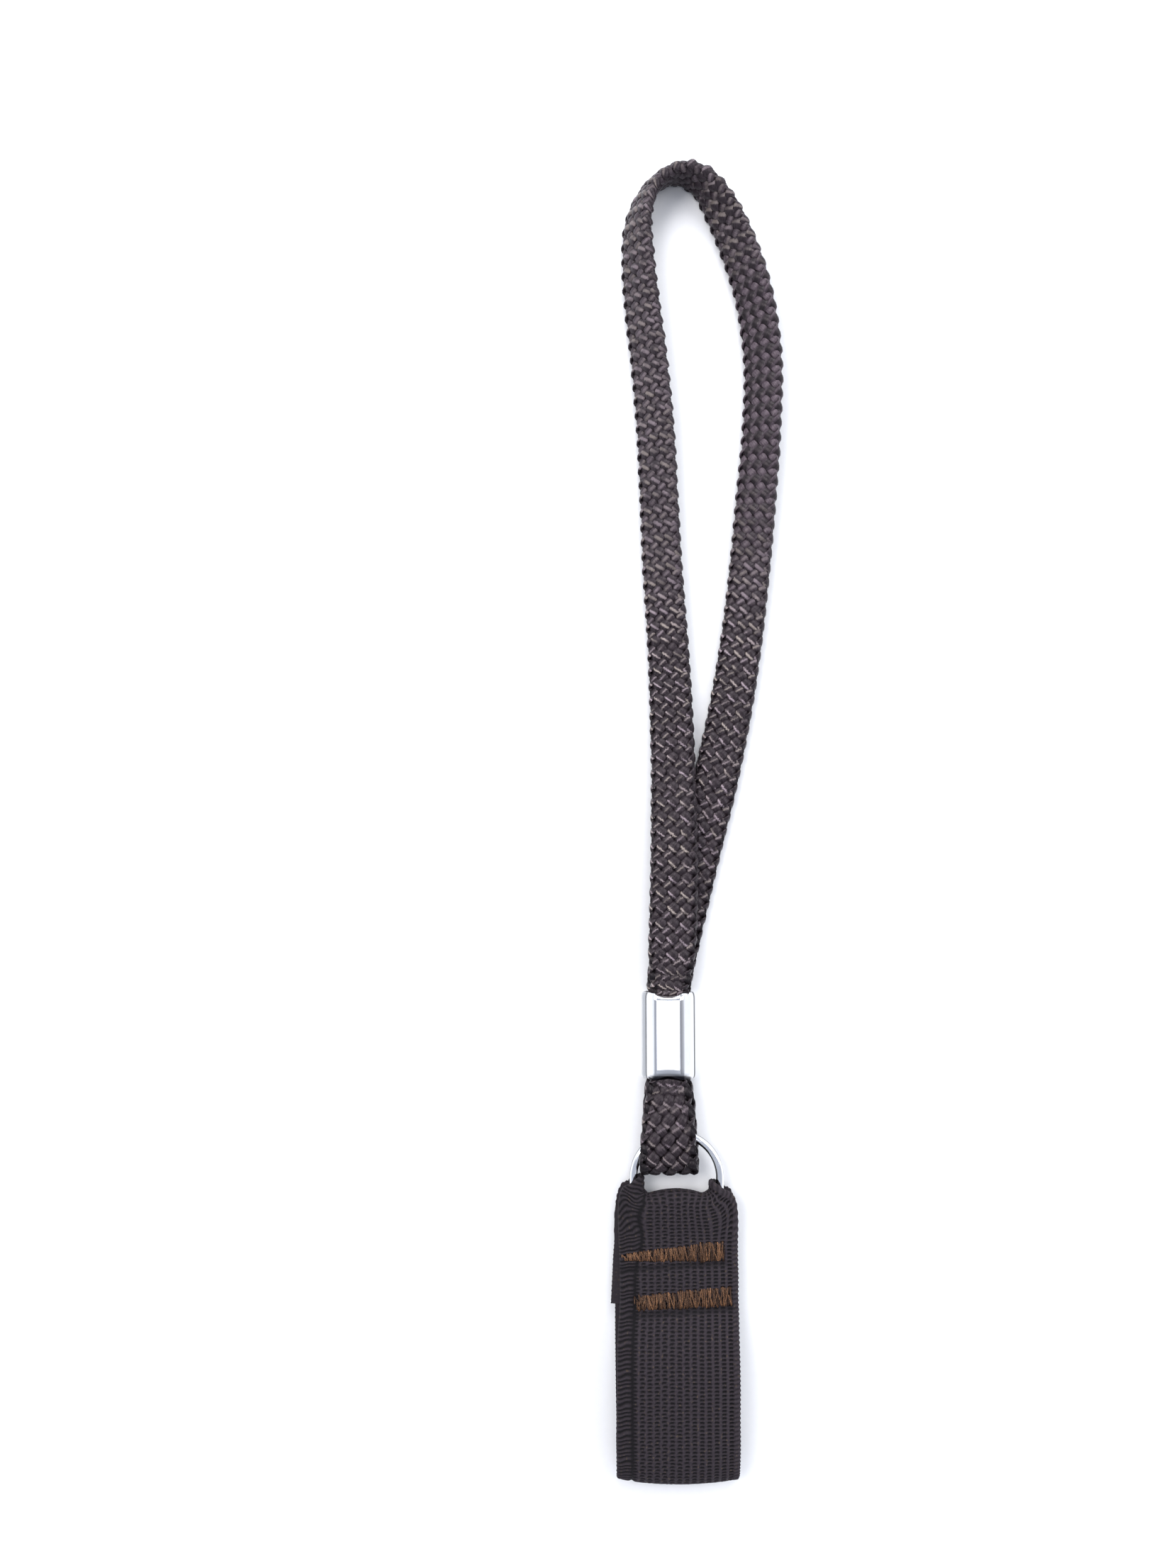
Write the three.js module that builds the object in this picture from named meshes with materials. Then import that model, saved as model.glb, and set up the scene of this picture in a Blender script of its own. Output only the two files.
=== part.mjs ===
// A wrist strap for a walking stick, lying on a flat surface. Millimetres, +Z up, +Y towards the top of the
// wrist loop. The origin is on the surface, under the middle of the strap's box.
//
// A flat braided cord starts in the ferrule, goes round the D-ring, comes back through the ferrule as the
// upper layer, makes the wrist loop and ends in the ferrule's lower layer, against its own start. One strip
// of elastic is folded round the D-ring's bar, and its long end is turned back under to grip the stick.
import * as THREE from "three";

// ---- Braided cord: a tube of braid pressed flat ----
const CORD_SIDES = 14;
const CORD_STEP = 3.4; // between two sections along the wrist loop
const RING_LOOP_STEP = 1.5; // the same where the cord folds round the D-ring
const CORD_SQUARENESS = 2.5; // exponent of the section, 2 is an ellipse
const CORD_ENDS_GAP = 0.6; // between the cord's two ends, which meet in the ferrule

// ---- Ferrule: a chrome tube pressed over two layers of cord ----
const FERRULE_X = -6.7;
const FERRULE_TOP = -41.1;
const FERRULE_LENGTH = 17.6;
const FERRULE_BOTTOM = FERRULE_TOP - FERRULE_LENGTH;
const FERRULE_MIDDLE = FERRULE_TOP - FERRULE_LENGTH / 2;
const FERRULE_HEIGHT = 6.6;
const FERRULE_WALL = 0.5;
const FERRULE_FRONT_MIDDLE = -0.3; // of the front plate, from the middle of the ferrule
const FERRULE_FRONT_HALF = 2.7; // half the width of the front plate
const FERRULE_SCOOP = 0.7; // how far the ends of the front plate curve in, at their middle
const SCOOP_FADE = 0.7; // share of that curve lost at the front plate's corners
const FERRULE_ROLL = 0.3; // how far those ends turn down onto the cord
const FERRULE_BEVEL = 1.1; // length of the turned-down ends
const LOWER_LAYER_Z = 1.8;
const UPPER_LAYER_Z = 4.45;
const PRESSED_HALF_WIDTH = 4.4;
const PRESSED_HALF_THICKNESS = 1.1;
const PRESSED = [PRESSED_HALF_WIDTH, PRESSED_HALF_THICKNESS];
const UPPER_PINCH = 0.38; // the upper layer is narrower on top, under the ferrule's shoulders
const PINCH_REACH = 9; // beyond the ferrule the pinch fades over this length

// ---- D-ring: 16 mm inside, bent from 1.6 mm wire ----
const RING_X = -5.25;
const BAR_Y = -83.5;
const BAR_Z = 2.95;
const RING_ARC_Z = 3.75; // the top of the arc lies a little higher than the bar
const WIRE_RADIUS = 0.8;
const RING_RADIUS = 8.8; // of the arc, to the middle of the wire
const RING_ARC_CENTRE = 5.0; // from the bar to the centre of the arc
const RING_CORNER = 2.8;
const RING_TILT = Math.atan2(RING_ARC_Z - BAR_Z, RING_ARC_CENTRE + RING_RADIUS);
const WIRE_SIDES = 10;
const CORNER_STEPS = 11; // sections in each corner of the D

// ---- Elastic: one strip, 24.6 mm wide and 1.3 mm thick ----
const BAND_THICKNESS = 1.3;
const BAND_COLUMNS = 12;
const BAND_X = RING_X;
const MIDDLE_LAYER_Z = 2.15;
const WRAP_SLACK = 0.25; // between the wire and the strip folded round it
const WRAP_RADIUS = WIRE_RADIUS + WRAP_SLACK + BAND_THICKNESS / 2;
const WRAP_REACH = 13.3; // half the strip's width, measured along the wire
const WRAP_STEPS = 6;
const FAN_STEPS = 5; // sections between the wire and the flat layers
const FAN_PULL = 10; // how far the strip keeps its direction where it fans out
const BAND_BOTTOM = -137.2;
const BOTTOM_ARCH = 1.0; // the bottom fold is this much lower at its middle
const ARCH_REACH = 7; // above the bottom fold, where the arch has faded out

// The wrist loop, from the middle of the ferrule's upper layer to the middle of its lower one. lift is the
// height of the cord's lowest side, lean turns the cord about its own line: 0 has its outer face up, 90
// stands it on its edge and 180 has its inner face up.
const WRIST_LOOP = [
  // x, y, lift, lean, half width, half thickness
  [FERRULE_X, FERRULE_MIDDLE, UPPER_LAYER_Z - PRESSED_HALF_THICKNESS, 0, ...PRESSED],
  [-6.6, FERRULE_TOP, 3.36, 0, ...PRESSED],
  [-6.0, -32, 3.3, 1, 4.75, 1.35],
  [-5.6, -22, 3.05, 3, 4.8, 1.4],
  [-5.4, -12, 2.75, 5, 4.75, 1.45],
  [-5.4, -4, 2.1, 7, 4.65, 1.45],
  [-5.4, 4, 1.15, 9, 4.55, 1.5],
  [-5.7, 18, 0.15, 14, 4.45, 1.5],
  [-6.4, 33, 0.05, 18, 4.3, 1.55],
  [-7.4, 48, 0.05, 21, 4.25, 1.6],
  [-8.1, 64, 0.05, 25, 4.2, 1.6],
  [-8.8, 79, 0.05, 30, 4.25, 1.6],
  [-10.2, 95, 0.05, 36, 4.3, 1.6],
  [-11.5, 106, 0.05, 41, 4.35, 1.6],
  [-12.4, 116.5, 0.05, 48, 4.35, 1.65],
  [-12.2, 126.0, 0.05, 58, 4.3, 1.7],
  [-9.2, 132.9, 0.05, 69, 4.2, 1.75],
  [-3.6, 135.8, 0.05, 82, 4.2, 1.7],
  [1.5, 133.9, 0.05, 104, 4.2, 1.7],
  [5.4, 128.6, 0.05, 125, 4.3, 1.65],
  [8.9, 121.0, 0.05, 136, 4.35, 1.6],
  [12.4, 110.0, 0.05, 140, 4.35, 1.6],
  [14.5, 95, 0.05, 143, 4.35, 1.6],
  [14.1, 79, 0.05, 147, 4.3, 1.6],
  [12.8, 64, 0.05, 157, 4.3, 1.6],
  [11.3, 48.5, 0.05, 166, 4.25, 1.55],
  [9.4, 33, 0.05, 172, 4.3, 1.5],
  [6.9, 18, 0.05, 176, 4.45, 1.45],
  [3.6, 2.8, 0.05, 179, 4.6, 1.4],
  [-0.2, -12, 0.05, 180, 4.65, 1.35],
  [-3.8, -26.5, 0.05, 180, 4.7, 1.3],
  [-5.9, -36, 0.25, 180, 4.6, 1.2],
  [-6.6, FERRULE_TOP, 0.65, 180, ...PRESSED],
  [FERRULE_X, FERRULE_MIDDLE, LOWER_LAYER_Z - PRESSED_HALF_THICKNESS, 180, ...PRESSED],
];

// Where the cord folds round the D-ring's arc.
const FOLD_Y = -74.3;
const FOLD_LOWER_Z = 1.4;
const FOLD_UPPER_Z = 6.05;
const FOLD_RADIUS = (FOLD_UPPER_Z - FOLD_LOWER_Z) / 2;
const FOLD_LOWER_X = -6.4;
const FOLD_UPPER_X = -7.1;
const FOLD_HALF_WIDTH = 4.95;
const FOLD_HALF_THICKNESS = 1.25;
const FOLD_STEPS = 4;

// Moves the strap so that the middle of its box is over the origin.
const MIDDLE_SHIFT_X = 0.17;
const MIDDLE_SHIFT_Y = 0.1;

const UP = new THREE.Vector3(0, 0, 1);
const ALONG_X = new THREE.Vector3(1, 0, 0);

// Joins sections with equal numbers of points into one closed body. The points of a section go round its
// direction of travel by the right-hand rule. An open row gets flat ends, and a closed one meets itself.
function loft(sections, closed = false) {
  const count = sections[0].length;
  const index = [];
  const spans = closed ? sections.length : sections.length - 1;
  for (let i = 0; i < spans; i++) {
    const here = i * count;
    const next = ((i + 1) % sections.length) * count;
    for (let k = 0; k < count; k++) {
      const beside = (k + 1) % count;
      index.push(here + k, here + beside, next + beside, here + k, next + beside, next + k);
    }
  }
  if (!closed) {
    const end = (sections.length - 1) * count;
    for (let k = 0; k < count / 2 - 1; k++) {
      const [a, b, c, d] = [k, k + 1, count - 2 - k, count - 1 - k];
      index.push(end + a, end + b, end + c, end + a, end + c, end + d);
      index.push(c, b, a, d, c, a);
    }
  }
  return solid(sections.flat(), index);
}

// A geometry from points and triangles.
function solid(points, index) {
  const geometry = new THREE.BufferGeometry().setFromPoints(points);
  geometry.setIndex(index);
  geometry.computeVertexNormals();
  return geometry;
}

// The directions along a row of points.
function directions(points) {
  return points.map((_, i) => {
    const before = points[Math.max(i - 1, 0)];
    const after = points[Math.min(i + 1, points.length - 1)];
    return after.clone().sub(before).normalize();
  });
}

function power(value, exponent) {
  return Math.sign(value) * Math.abs(value) ** exponent;
}

// How far a leaning cord's section reaches below its middle.
function reachBelow(lean, halfWidth, halfThickness) {
  const q = CORD_SQUARENESS / (CORD_SQUARENESS - 1);
  const across = Math.abs(halfWidth * Math.sin(lean));
  const through = Math.abs(halfThickness * Math.cos(lean));
  return (across ** q + through ** q) ** (1 / q);
}

// One section of the cord. side is the direction of its width, and face points out of its outer face.
function cordSection({ middle, along, side, halfWidth, halfThickness, pinch }) {
  const face = side.clone().cross(along).normalize();
  const across = along.clone().cross(face);
  const points = [];
  for (let k = 0; k < CORD_SIDES; k++) {
    const angle = ((k + 0.5) / CORD_SIDES) * 2 * Math.PI;
    const up = power(Math.cos(angle), 2 / CORD_SQUARENESS);
    const out = power(Math.sin(angle), 2 / CORD_SQUARENESS) * (1 - (pinch * (up + 1)) / 2);
    points.push(
      middle.clone().addScaledVector(face, up * halfThickness).addScaledVector(across, out * halfWidth),
    );
  }
  return points;
}

// The pinch of the upper layer: full in the ferrule, and fading beyond either end of it.
function pinchAt(y) {
  const beyond = Math.max(y - FERRULE_TOP, FERRULE_BOTTOM - y, 0);
  return UPPER_PINCH * (1 - THREE.MathUtils.smoothstep(beyond, 0, PINCH_REACH));
}

// Samples a smooth line through rows of [x, y, z, ...values] at even steps.
function sample(rows, step, read) {
  const line = new THREE.CatmullRomCurve3(
    rows.map(([x, y, z]) => new THREE.Vector3(x, y, z)),
    false,
    "centripetal",
  );
  line.arcLengthDivisions = 1200;
  const values = new THREE.CatmullRomCurve3(
    rows.map((row) => new THREE.Vector3(...row.slice(3, 6))),
    false,
    "catmullrom",
  );
  const steps = Math.round(line.getLength() / step);
  return Array.from({ length: steps + 1 }, (_, i) => {
    const t = line.getUtoTmapping(i / steps);
    return read(line.getPoint(t), values.getPoint(t));
  });
}

// The cord from its start in the ferrule's lower layer, round the D-ring, to the ferrule's upper layer.
function ringLoopStations() {
  const pressed = [0, ...PRESSED];
  const folded = [0, FOLD_HALF_WIDTH, FOLD_HALF_THICKNESS];
  const rows = [
    [FERRULE_X, FERRULE_MIDDLE - CORD_ENDS_GAP, LOWER_LAYER_Z, ...pressed],
    [FERRULE_X, FERRULE_BOTTOM, LOWER_LAYER_Z, ...pressed],
    [-6.6, -62, 1.6, 0, 4.9, 1.2],
    [-6.5, -67, 1.42, 0, 4.95, 1.25],
  ];
  for (let k = 0; k <= FOLD_STEPS; k++) {
    const share = k / FOLD_STEPS;
    const turn = share * Math.PI;
    rows.push([
      THREE.MathUtils.lerp(FOLD_LOWER_X, FOLD_UPPER_X, share),
      FOLD_Y - FOLD_RADIUS * Math.sin(turn),
      (FOLD_LOWER_Z + FOLD_UPPER_Z) / 2 - FOLD_RADIUS * Math.cos(turn),
      ...folded,
    ]);
  }
  rows.push(
    [-7.1, -69.5, 5.95, 0, 4.9, 1.25],
    [-7.0, -64.5, 5.3, 0, 4.9, 1.2],
    [-6.9, -61.5, 4.85, 0, 4.8, 1.15],
    [-6.8, FERRULE_BOTTOM, UPPER_LAYER_Z, ...pressed],
    [FERRULE_X, FERRULE_MIDDLE, UPPER_LAYER_Z, ...pressed],
  );
  const middleZ = (LOWER_LAYER_Z + UPPER_LAYER_Z) / 2;
  return sample(rows, RING_LOOP_STEP, (middle, values) => ({
    middle,
    halfWidth: values.y,
    halfThickness: values.z,
    pinch: middle.z > middleZ ? pinchAt(middle.y) : 0,
    lean: null,
  }));
}

// The cord from the ferrule's upper layer, round the wrist loop, to the ferrule's lower layer.
function wristLoopStations() {
  return sample(WRIST_LOOP, CORD_STEP, (place, values) => {
    const lean = THREE.MathUtils.degToRad(values.x);
    const middle = place.clone();
    middle.z += reachBelow(lean, values.y, values.z);
    return {
      middle,
      halfWidth: values.y,
      halfThickness: values.z,
      pinch: values.x < 90 ? pinchAt(middle.y) : 0,
      lean,
    };
  });
}

// The whole cord, one body with two flat ends.
function braidedCord() {
  const stations = [...ringLoopStations().slice(0, -1), ...wristLoopStations()];
  const along = directions(stations.map((station) => station.middle));
  return loft(
    stations.map((station, i) => {
      const right = along[i].clone().cross(UP).normalize();
      const side =
        station.lean === null
          ? ALONG_X.clone()
          : right.multiplyScalar(Math.cos(station.lean)).addScaledVector(UP, Math.sin(station.lean));
      return cordSection({ ...station, along: along[i], side });
    }),
  );
}

// The ferrule's outline across its length, from the middle of its back round its right side.
const FERRULE_OUTLINE = [
  // across, up
  [0, 0],
  [4.6, 0],
  [5.3, 0.7],
  [5.6, 2.0],
  [5.4, 3.2],
  [4.8, 4.2],
  [3.7, 5.4],
  [2.4, FERRULE_HEIGHT],
  [1.3, FERRULE_HEIGHT],
  [-0.3, FERRULE_HEIGHT],
  [-1.9, FERRULE_HEIGHT],
  [-3.0, FERRULE_HEIGHT],
  [-4.1, 5.4],
  [-4.8, 4.2],
  [-5.4, 3.2],
  [-5.6, 2.0],
  [-5.3, 0.7],
  [-4.6, 0],
];

// One section of the ferrule's outside. atEnd is +1 at the top end, -1 at the bottom one and 0 between. An
// end of the front plate is turned down and its edge curves towards the ferrule's middle.
function ferruleSection(y, atEnd) {
  return FERRULE_OUTLINE.map(([across, up]) => {
    const inFront = up === FERRULE_HEIGHT ? 1 : 0;
    const off = (across - FERRULE_FRONT_MIDDLE) / FERRULE_FRONT_HALF;
    const scoop = inFront * FERRULE_SCOOP * (1 - SCOOP_FADE * off * off);
    return new THREE.Vector3(
      FERRULE_X + across,
      y - atEnd * scoop,
      up - Math.abs(atEnd) * inFront * FERRULE_ROLL,
    );
  });
}

// The same section moved in by the wall's thickness.
function innerSection(section) {
  return section.map((point, i) => {
    const before = section[(i + section.length - 1) % section.length];
    const after = section[(i + 1) % section.length];
    const edgeIn = (a, b) => new THREE.Vector3(a.z - b.z, 0, b.x - a.x).normalize();
    const first = edgeIn(before, point);
    const second = edgeIn(point, after);
    const mitre = first.clone().add(second).normalize();
    return point.clone().addScaledVector(mitre, FERRULE_WALL / mitre.dot(first));
  });
}

// A tube: outside sections joined to inside ones at both ends.
function ferrule() {
  const places = [
    [FERRULE_TOP, 1],
    [FERRULE_TOP - FERRULE_BEVEL, 0],
    [FERRULE_BOTTOM + FERRULE_BEVEL, 0],
    [FERRULE_BOTTOM, -1],
  ];
  const outside = places.map(([y, atEnd]) => ferruleSection(y, atEnd));
  const inside = outside.map(innerSection).reverse();
  return loft([...outside, ...inside], true);
}

// A place on the D-ring's lower part, in the ring's own plane: s is measured along the wire from the middle
// of the bar, and inward points from the wire to the inside of the ring.
function onLowerWire(s) {
  const straight = RING_RADIUS - RING_CORNER;
  const bend = (RING_CORNER * Math.PI) / 2;
  const far = Math.abs(s);
  const turn = THREE.MathUtils.clamp((far - straight) / RING_CORNER, 0, Math.PI / 2);
  const upLeg = Math.max(far - straight - bend, 0);
  const x = Math.min(far, straight) + RING_CORNER * Math.sin(turn);
  const y = RING_CORNER * (1 - Math.cos(turn)) + upLeg;
  const hand = Math.sign(s) || 1;
  return {
    place: new THREE.Vector3(hand * x, y, 0),
    inward: new THREE.Vector3(-hand * Math.sin(turn), Math.cos(turn), 0),
  };
}

// The D-ring lies in a plane that tilts up a little from its bar.
function placeOnRing(object) {
  object.position.set(RING_X, BAR_Y, BAR_Z);
  object.rotation.x = RING_TILT;
  return object;
}

function dRing() {
  const half = RING_RADIUS - RING_CORNER;
  const path = new THREE.Path();
  path.moveTo(-half, 0);
  path.lineTo(half, 0);
  path.absarc(half, RING_CORNER, RING_CORNER, -Math.PI / 2, 0, false);
  path.lineTo(RING_RADIUS, RING_ARC_CENTRE);
  path.absarc(0, RING_ARC_CENTRE, RING_RADIUS, 0, Math.PI, false);
  path.lineTo(-RING_RADIUS, RING_CORNER);
  path.absarc(-half, RING_CORNER, RING_CORNER, Math.PI, 1.5 * Math.PI, false);
  const points = path.getPoints(CORNER_STEPS).slice(0, -1);
  const sections = points.map((point, i) => {
    const before = points[(i + points.length - 1) % points.length];
    const after = points[(i + 1) % points.length];
    const travel = after.clone().sub(before).normalize();
    const outward = new THREE.Vector3(travel.y, -travel.x, 0);
    return Array.from({ length: WIRE_SIDES }, (_, k) => {
      const angle = (k / WIRE_SIDES) * 2 * Math.PI;
      return new THREE.Vector3(point.x, point.y, 0)
        .addScaledVector(UP, WIRE_RADIUS * Math.cos(angle))
        .addScaledVector(outward, WIRE_RADIUS * Math.sin(angle));
    });
  });
  return loft(sections, true);
}

// The strip's side view, from its end under the bar tacks, round the bottom fold and up to the front.
const BAND_PROFILE = [
  // y, z, half width, shift
  [-92.5, 0.65, 12.1, -0.4],
  [-98, 0.65, 12.1, -0.4],
  [-104, 0.65, 12.2, -0.3],
  [-110, 0.65, 12.3, -0.2],
  [-120, 0.65, 12.3, -0.1],
  [-127, 0.65, 12.2, -0.1],
  [-131, 0.65, 12.15, -0.2],
  [-134.2, 0.8, 12.1, -0.2],
  [-136.2, 1.45, 12.1, -0.2],
  [-137.2, 2.6, 12.1, -0.2],
  [-137.1, 4.0, 12.1, -0.2],
  [-136.0, 5.25, 12.1, -0.2],
  [-133.6, 6.2, 12.1, -0.2],
  [-129.5, 6.8, 12.15, -0.2],
  [-124, 7.0, 12.15, -0.2],
  [-118.5, 6.9, 12.2, -0.15],
  [-113, 6.2, 12.2, -0.1],
  [-108.5, 5.0, 12.1, 0.05],
  [-105, 3.95, 12.0, 0.25],
  [-102, 3.65, 11.9, 0.3],
  [-98, 3.7, 11.95, 0.3],
  [-94, 3.65, 11.95, 0.25],
  [-91.5, 3.72, 12.0, 0.2],
];
// The first end of the strip, from below the bar down to its cut edge between the other two layers.
const MIDDLE_LAYER = [
  // y, z, half width, shift
  [-91.5, MIDDLE_LAYER_Z, 12.0, -0.7],
  [-94, MIDDLE_LAYER_Z, 12.0, -0.9],
  [-98, MIDDLE_LAYER_Z, 12.0, -1.1],
  [-103.6, MIDDLE_LAYER_Z, 12.0, -1.4],
];

// A flat row across the strip.
function flatRow([y, z, halfWidth, shift]) {
  return bandShares().map((share) => {
    const nearFold = 1 - THREE.MathUtils.smoothstep(y, BAND_BOTTOM, BAND_BOTTOM + ARCH_REACH);
    const arch = BOTTOM_ARCH * nearFold * share * share;
    return new THREE.Vector3(BAND_X + shift + share * halfWidth, y + arch, z);
  });
}

// The places of the columns across the strip, from -1 at its left edge to 1 at its right one.
function bandShares() {
  return Array.from({ length: BAND_COLUMNS + 1 }, (_, j) => (2 * j) / BAND_COLUMNS - 1);
}

// A row on the wire: turn is 0 in front of the wire and pi behind it.
function wrapRow(turn) {
  const ring = placeOnRing(new THREE.Object3D());
  ring.updateMatrix();
  return bandShares().map((share) => {
    const { place, inward } = onLowerWire(share * WRAP_REACH);
    place.addScaledVector(inward, WRAP_RADIUS * Math.sin(turn));
    place.z = WRAP_RADIUS * Math.cos(turn);
    return place.applyMatrix4(ring.matrix);
  });
}

// Rows between a flat row and a row on the wire, where the strip fans out. towards is +1 from the flat row
// to the wire and -1 from the wire to the flat row.
function fanRows(from, to, towards) {
  const rows = [];
  for (let step = 1; step < FAN_STEPS; step++) {
    const t = step / FAN_STEPS;
    rows.push(
      bandShares().map((share, j) => {
        const { inward } = onLowerWire(share * WRAP_REACH);
        const level = new THREE.Vector3(0, FAN_PULL, 0);
        const pull = inward.clone().multiplyScalar(FAN_PULL);
        const start = towards > 0 ? level : pull.negate();
        const end = towards > 0 ? pull : level.negate();
        const [t2, t3] = [t * t, t * t * t];
        return from[j]
          .clone()
          .multiplyScalar(2 * t3 - 3 * t2 + 1)
          .addScaledVector(start, t3 - 2 * t2 + t)
          .addScaledVector(to[j], 3 * t2 - 2 * t3)
          .addScaledVector(end, t3 - t2);
      }),
    );
  }
  return rows;
}

// The whole strip, thickened about its middle surface.
function elasticBand() {
  const front = BAND_PROFILE.map(flatRow);
  const back = MIDDLE_LAYER.map(flatRow);
  const wrap = Array.from({ length: WRAP_STEPS + 1 }, (_, k) => wrapRow((k / WRAP_STEPS) * Math.PI));
  const rows = [
    ...front,
    ...fanRows(front.at(-1), wrap[0], 1),
    ...wrap,
    ...fanRows(wrap.at(-1), back[0], -1),
    ...back,
  ];
  return loft(
    rows.map((row, i) => {
      const before = rows[Math.max(i - 1, 0)];
      const after = rows[Math.min(i + 1, rows.length - 1)];
      const half = row.map((point, j) => {
        const along = after[j].clone().sub(before[j]);
        const across = row[Math.min(j + 1, BAND_COLUMNS)].clone().sub(row[Math.max(j - 1, 0)]);
        return across.cross(along).normalize().multiplyScalar(BAND_THICKNESS / 2);
      });
      const outer = row.map((point, j) => point.clone().add(half[j]));
      const inner = row.map((point, j) => point.clone().sub(half[j]));
      return [...outer, ...inner.reverse()];
    }),
  );
}

function piece(name, geometry, colour, roughness, metalness) {
  const material = new THREE.MeshStandardMaterial({ color: colour, roughness, metalness });
  const mesh = new THREE.Mesh(geometry, material);
  mesh.name = name;
  return mesh;
}

const wristStrap = new THREE.Group();
wristStrap.position.set(MIDDLE_SHIFT_X, MIDDLE_SHIFT_Y, 0);
wristStrap.add(
  piece("wrist_loop", braidedCord(), 0x3a2a28, 0.6, 0),
  piece("ferrule", ferrule(), 0xd9dcdf, 0.12, 1),
  placeOnRing(piece("d_ring", dRing(), 0xd9dcdf, 0.1, 1)),
  piece("elastic_band", elasticBand(), 0x2f2727, 0.85, 0),
);

export default wristStrap;
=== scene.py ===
# A wrist strap for a walking stick: a braided cord, its chrome ferrule and D-ring, and the elastic with its
# two bar tacks. Metres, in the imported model's own frame: +Z up, +Y towards the top of the wrist loop.
import math

import bpy
import numpy as np
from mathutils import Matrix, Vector


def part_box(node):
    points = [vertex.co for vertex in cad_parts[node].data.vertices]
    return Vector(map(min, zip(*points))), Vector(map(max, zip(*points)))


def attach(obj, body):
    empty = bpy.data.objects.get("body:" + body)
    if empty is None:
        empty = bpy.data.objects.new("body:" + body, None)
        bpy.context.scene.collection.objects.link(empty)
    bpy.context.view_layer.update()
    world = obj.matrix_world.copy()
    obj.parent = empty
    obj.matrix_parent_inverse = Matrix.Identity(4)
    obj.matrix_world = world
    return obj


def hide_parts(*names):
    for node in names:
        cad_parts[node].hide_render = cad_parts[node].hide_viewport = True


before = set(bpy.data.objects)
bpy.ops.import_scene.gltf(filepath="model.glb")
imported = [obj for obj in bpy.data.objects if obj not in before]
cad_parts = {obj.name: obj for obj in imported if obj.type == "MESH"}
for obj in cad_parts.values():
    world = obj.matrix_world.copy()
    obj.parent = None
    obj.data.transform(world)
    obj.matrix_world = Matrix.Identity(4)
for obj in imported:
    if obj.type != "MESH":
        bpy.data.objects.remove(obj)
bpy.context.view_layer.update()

# ---- Where the CAD pieces are ----
ferrule_low, ferrule_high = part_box("ferrule")
ring_low, ring_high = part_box("d_ring")

# ---- Camera: above the strap, a little nearer to its stick end and tipped up the loop ----
VIEW_AIM = Vector((-0.02313, 0.0023, 0.0))  # the strap lies right of the middle of the view
VIEW_DISTANCE = 0.25
VIEW_TILT = math.radians(5)
VIEW_LENS = 27.03
VIEW_SENSOR = 36.0
VIEW_NEAREST = 0.01

# ---- Braided cord ----
CORD_SQUARENESS = 2.5  # the exponent of its section, where 2 is an ellipse
CORD_PROPORTIONS = (4.5, 1.5)  # half width to half thickness, for even spaces between the yarns
CORD_STEP = 0.0002625  # a twelfth of a row of the braid
CORD_ENDS_GAP = 0.0006
FLOOR_GAP = 0.00003  # the yarns flatten where they rest
YARNS_EACH_WAY = 8
BRAID_LEAD = 0.0252  # along the cord, for one turn of a yarn round it
RING_LOOP_LEAD = 0.031  # the same where the cord is pulled tight round the D-ring
WEAVE_DEPTH = 0.00040  # from the middle of the braid's wall to a yarn's crest
OVER_BIAS = 0.00008  # the yarns laid to the right lie this much higher
SIDE_BULGE = 0.00008  # how far the yarns stand out at the cord's two sides
FOLD_DEEPER = 0.5  # share by which the weave opens where the cord folds over the ring
CREST_FLATNESS = 0.85  # a power: under 1, the yarns stay longer over and under
YARN_HALF_WIDTH = {1: 0.00096, -1: 0.00114}  # of those laid to the left, and to the right
YARN_HALF_THICKNESS = 0.00042
YARN_ASTRAY = 0.00005
# Along a yarn, between the random numbers of:
ASTRAY_STEP = 0.0016
FULLNESS_STEP = 0.0032
TONE_STEP = 0.004
YARN_SECTION = [
    # across, up, as shares of half the yarn's width and thickness
    (1.0, -0.15),
    (0.82, 0.55),
    (0.35, 0.95),
    (-0.35, 0.95),
    (-0.82, 0.55),
    (-1.0, -0.15),
    (0.0, -0.8),
]
# The painted glints lie where a yarn runs square to this direction.
GLINT = (-0.42, -0.14, 1.0)  # about halfway between the light from the left and the eye
GLINT_SPREAD = 0.10  # how far a yarn may turn from square to that and still glint
GLINT_LIMIT = 6
# Distances up from the strap's middle, over which the cord's looks change.
SOFT_FROM = (0.018, 0.055)  # the painted glints turn from crisp strokes to broad pale patches, and the yarns take a painted darker shade
NET_FROM = (0.045, 0.070)  # on the right side, the yarns laid to the left then get a painted pale sheen, like a net
NET_TO = (0.108, 0.126)
# Distances down from the strap's middle, over which the cord changes on its way round the ring.
TIGHT_FROM = (0.052, 0.062)  # it is pulled tight
TIGHT_TO = (0.070, 0.075)
DULLER_FROM = (0.056, 0.062)  # it loses some of its painted glints
FOLDED_FROM = (0.0700, 0.0735)  # it folds over the ring
RING_LOOP_DULLER = 0.35  # share of the painted glints left out round the ring

# ---- Ferrule ----
FERRULE_X = -0.0067
FERRULE_TOP = -0.0411
FERRULE_LENGTH = 0.0176
FERRULE_BOTTOM = FERRULE_TOP - FERRULE_LENGTH
FERRULE_MIDDLE = FERRULE_TOP - FERRULE_LENGTH / 2
LOWER_LAYER_Z = 0.0018
UPPER_LAYER_Z = 0.00445
PRESSED = (0.0044, 0.0011)  # the cord's half width and half thickness in the ferrule
UPPER_PINCH = 0.38  # share by which the top of the cord narrows at the ferrule
PINCH_REACH = 0.009
HELD_NARROWER = 0.05  # share by which the whole cord narrows in it
HELD_REACH = 0.0006

# The strap's own middle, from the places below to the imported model's frame.
SHIFT = Vector(
    (
        (ferrule_low.x + ferrule_high.x) / 2 - FERRULE_X,
        (ferrule_low.y + ferrule_high.y) / 2 - FERRULE_MIDDLE,
        0,
    )
)

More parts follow.
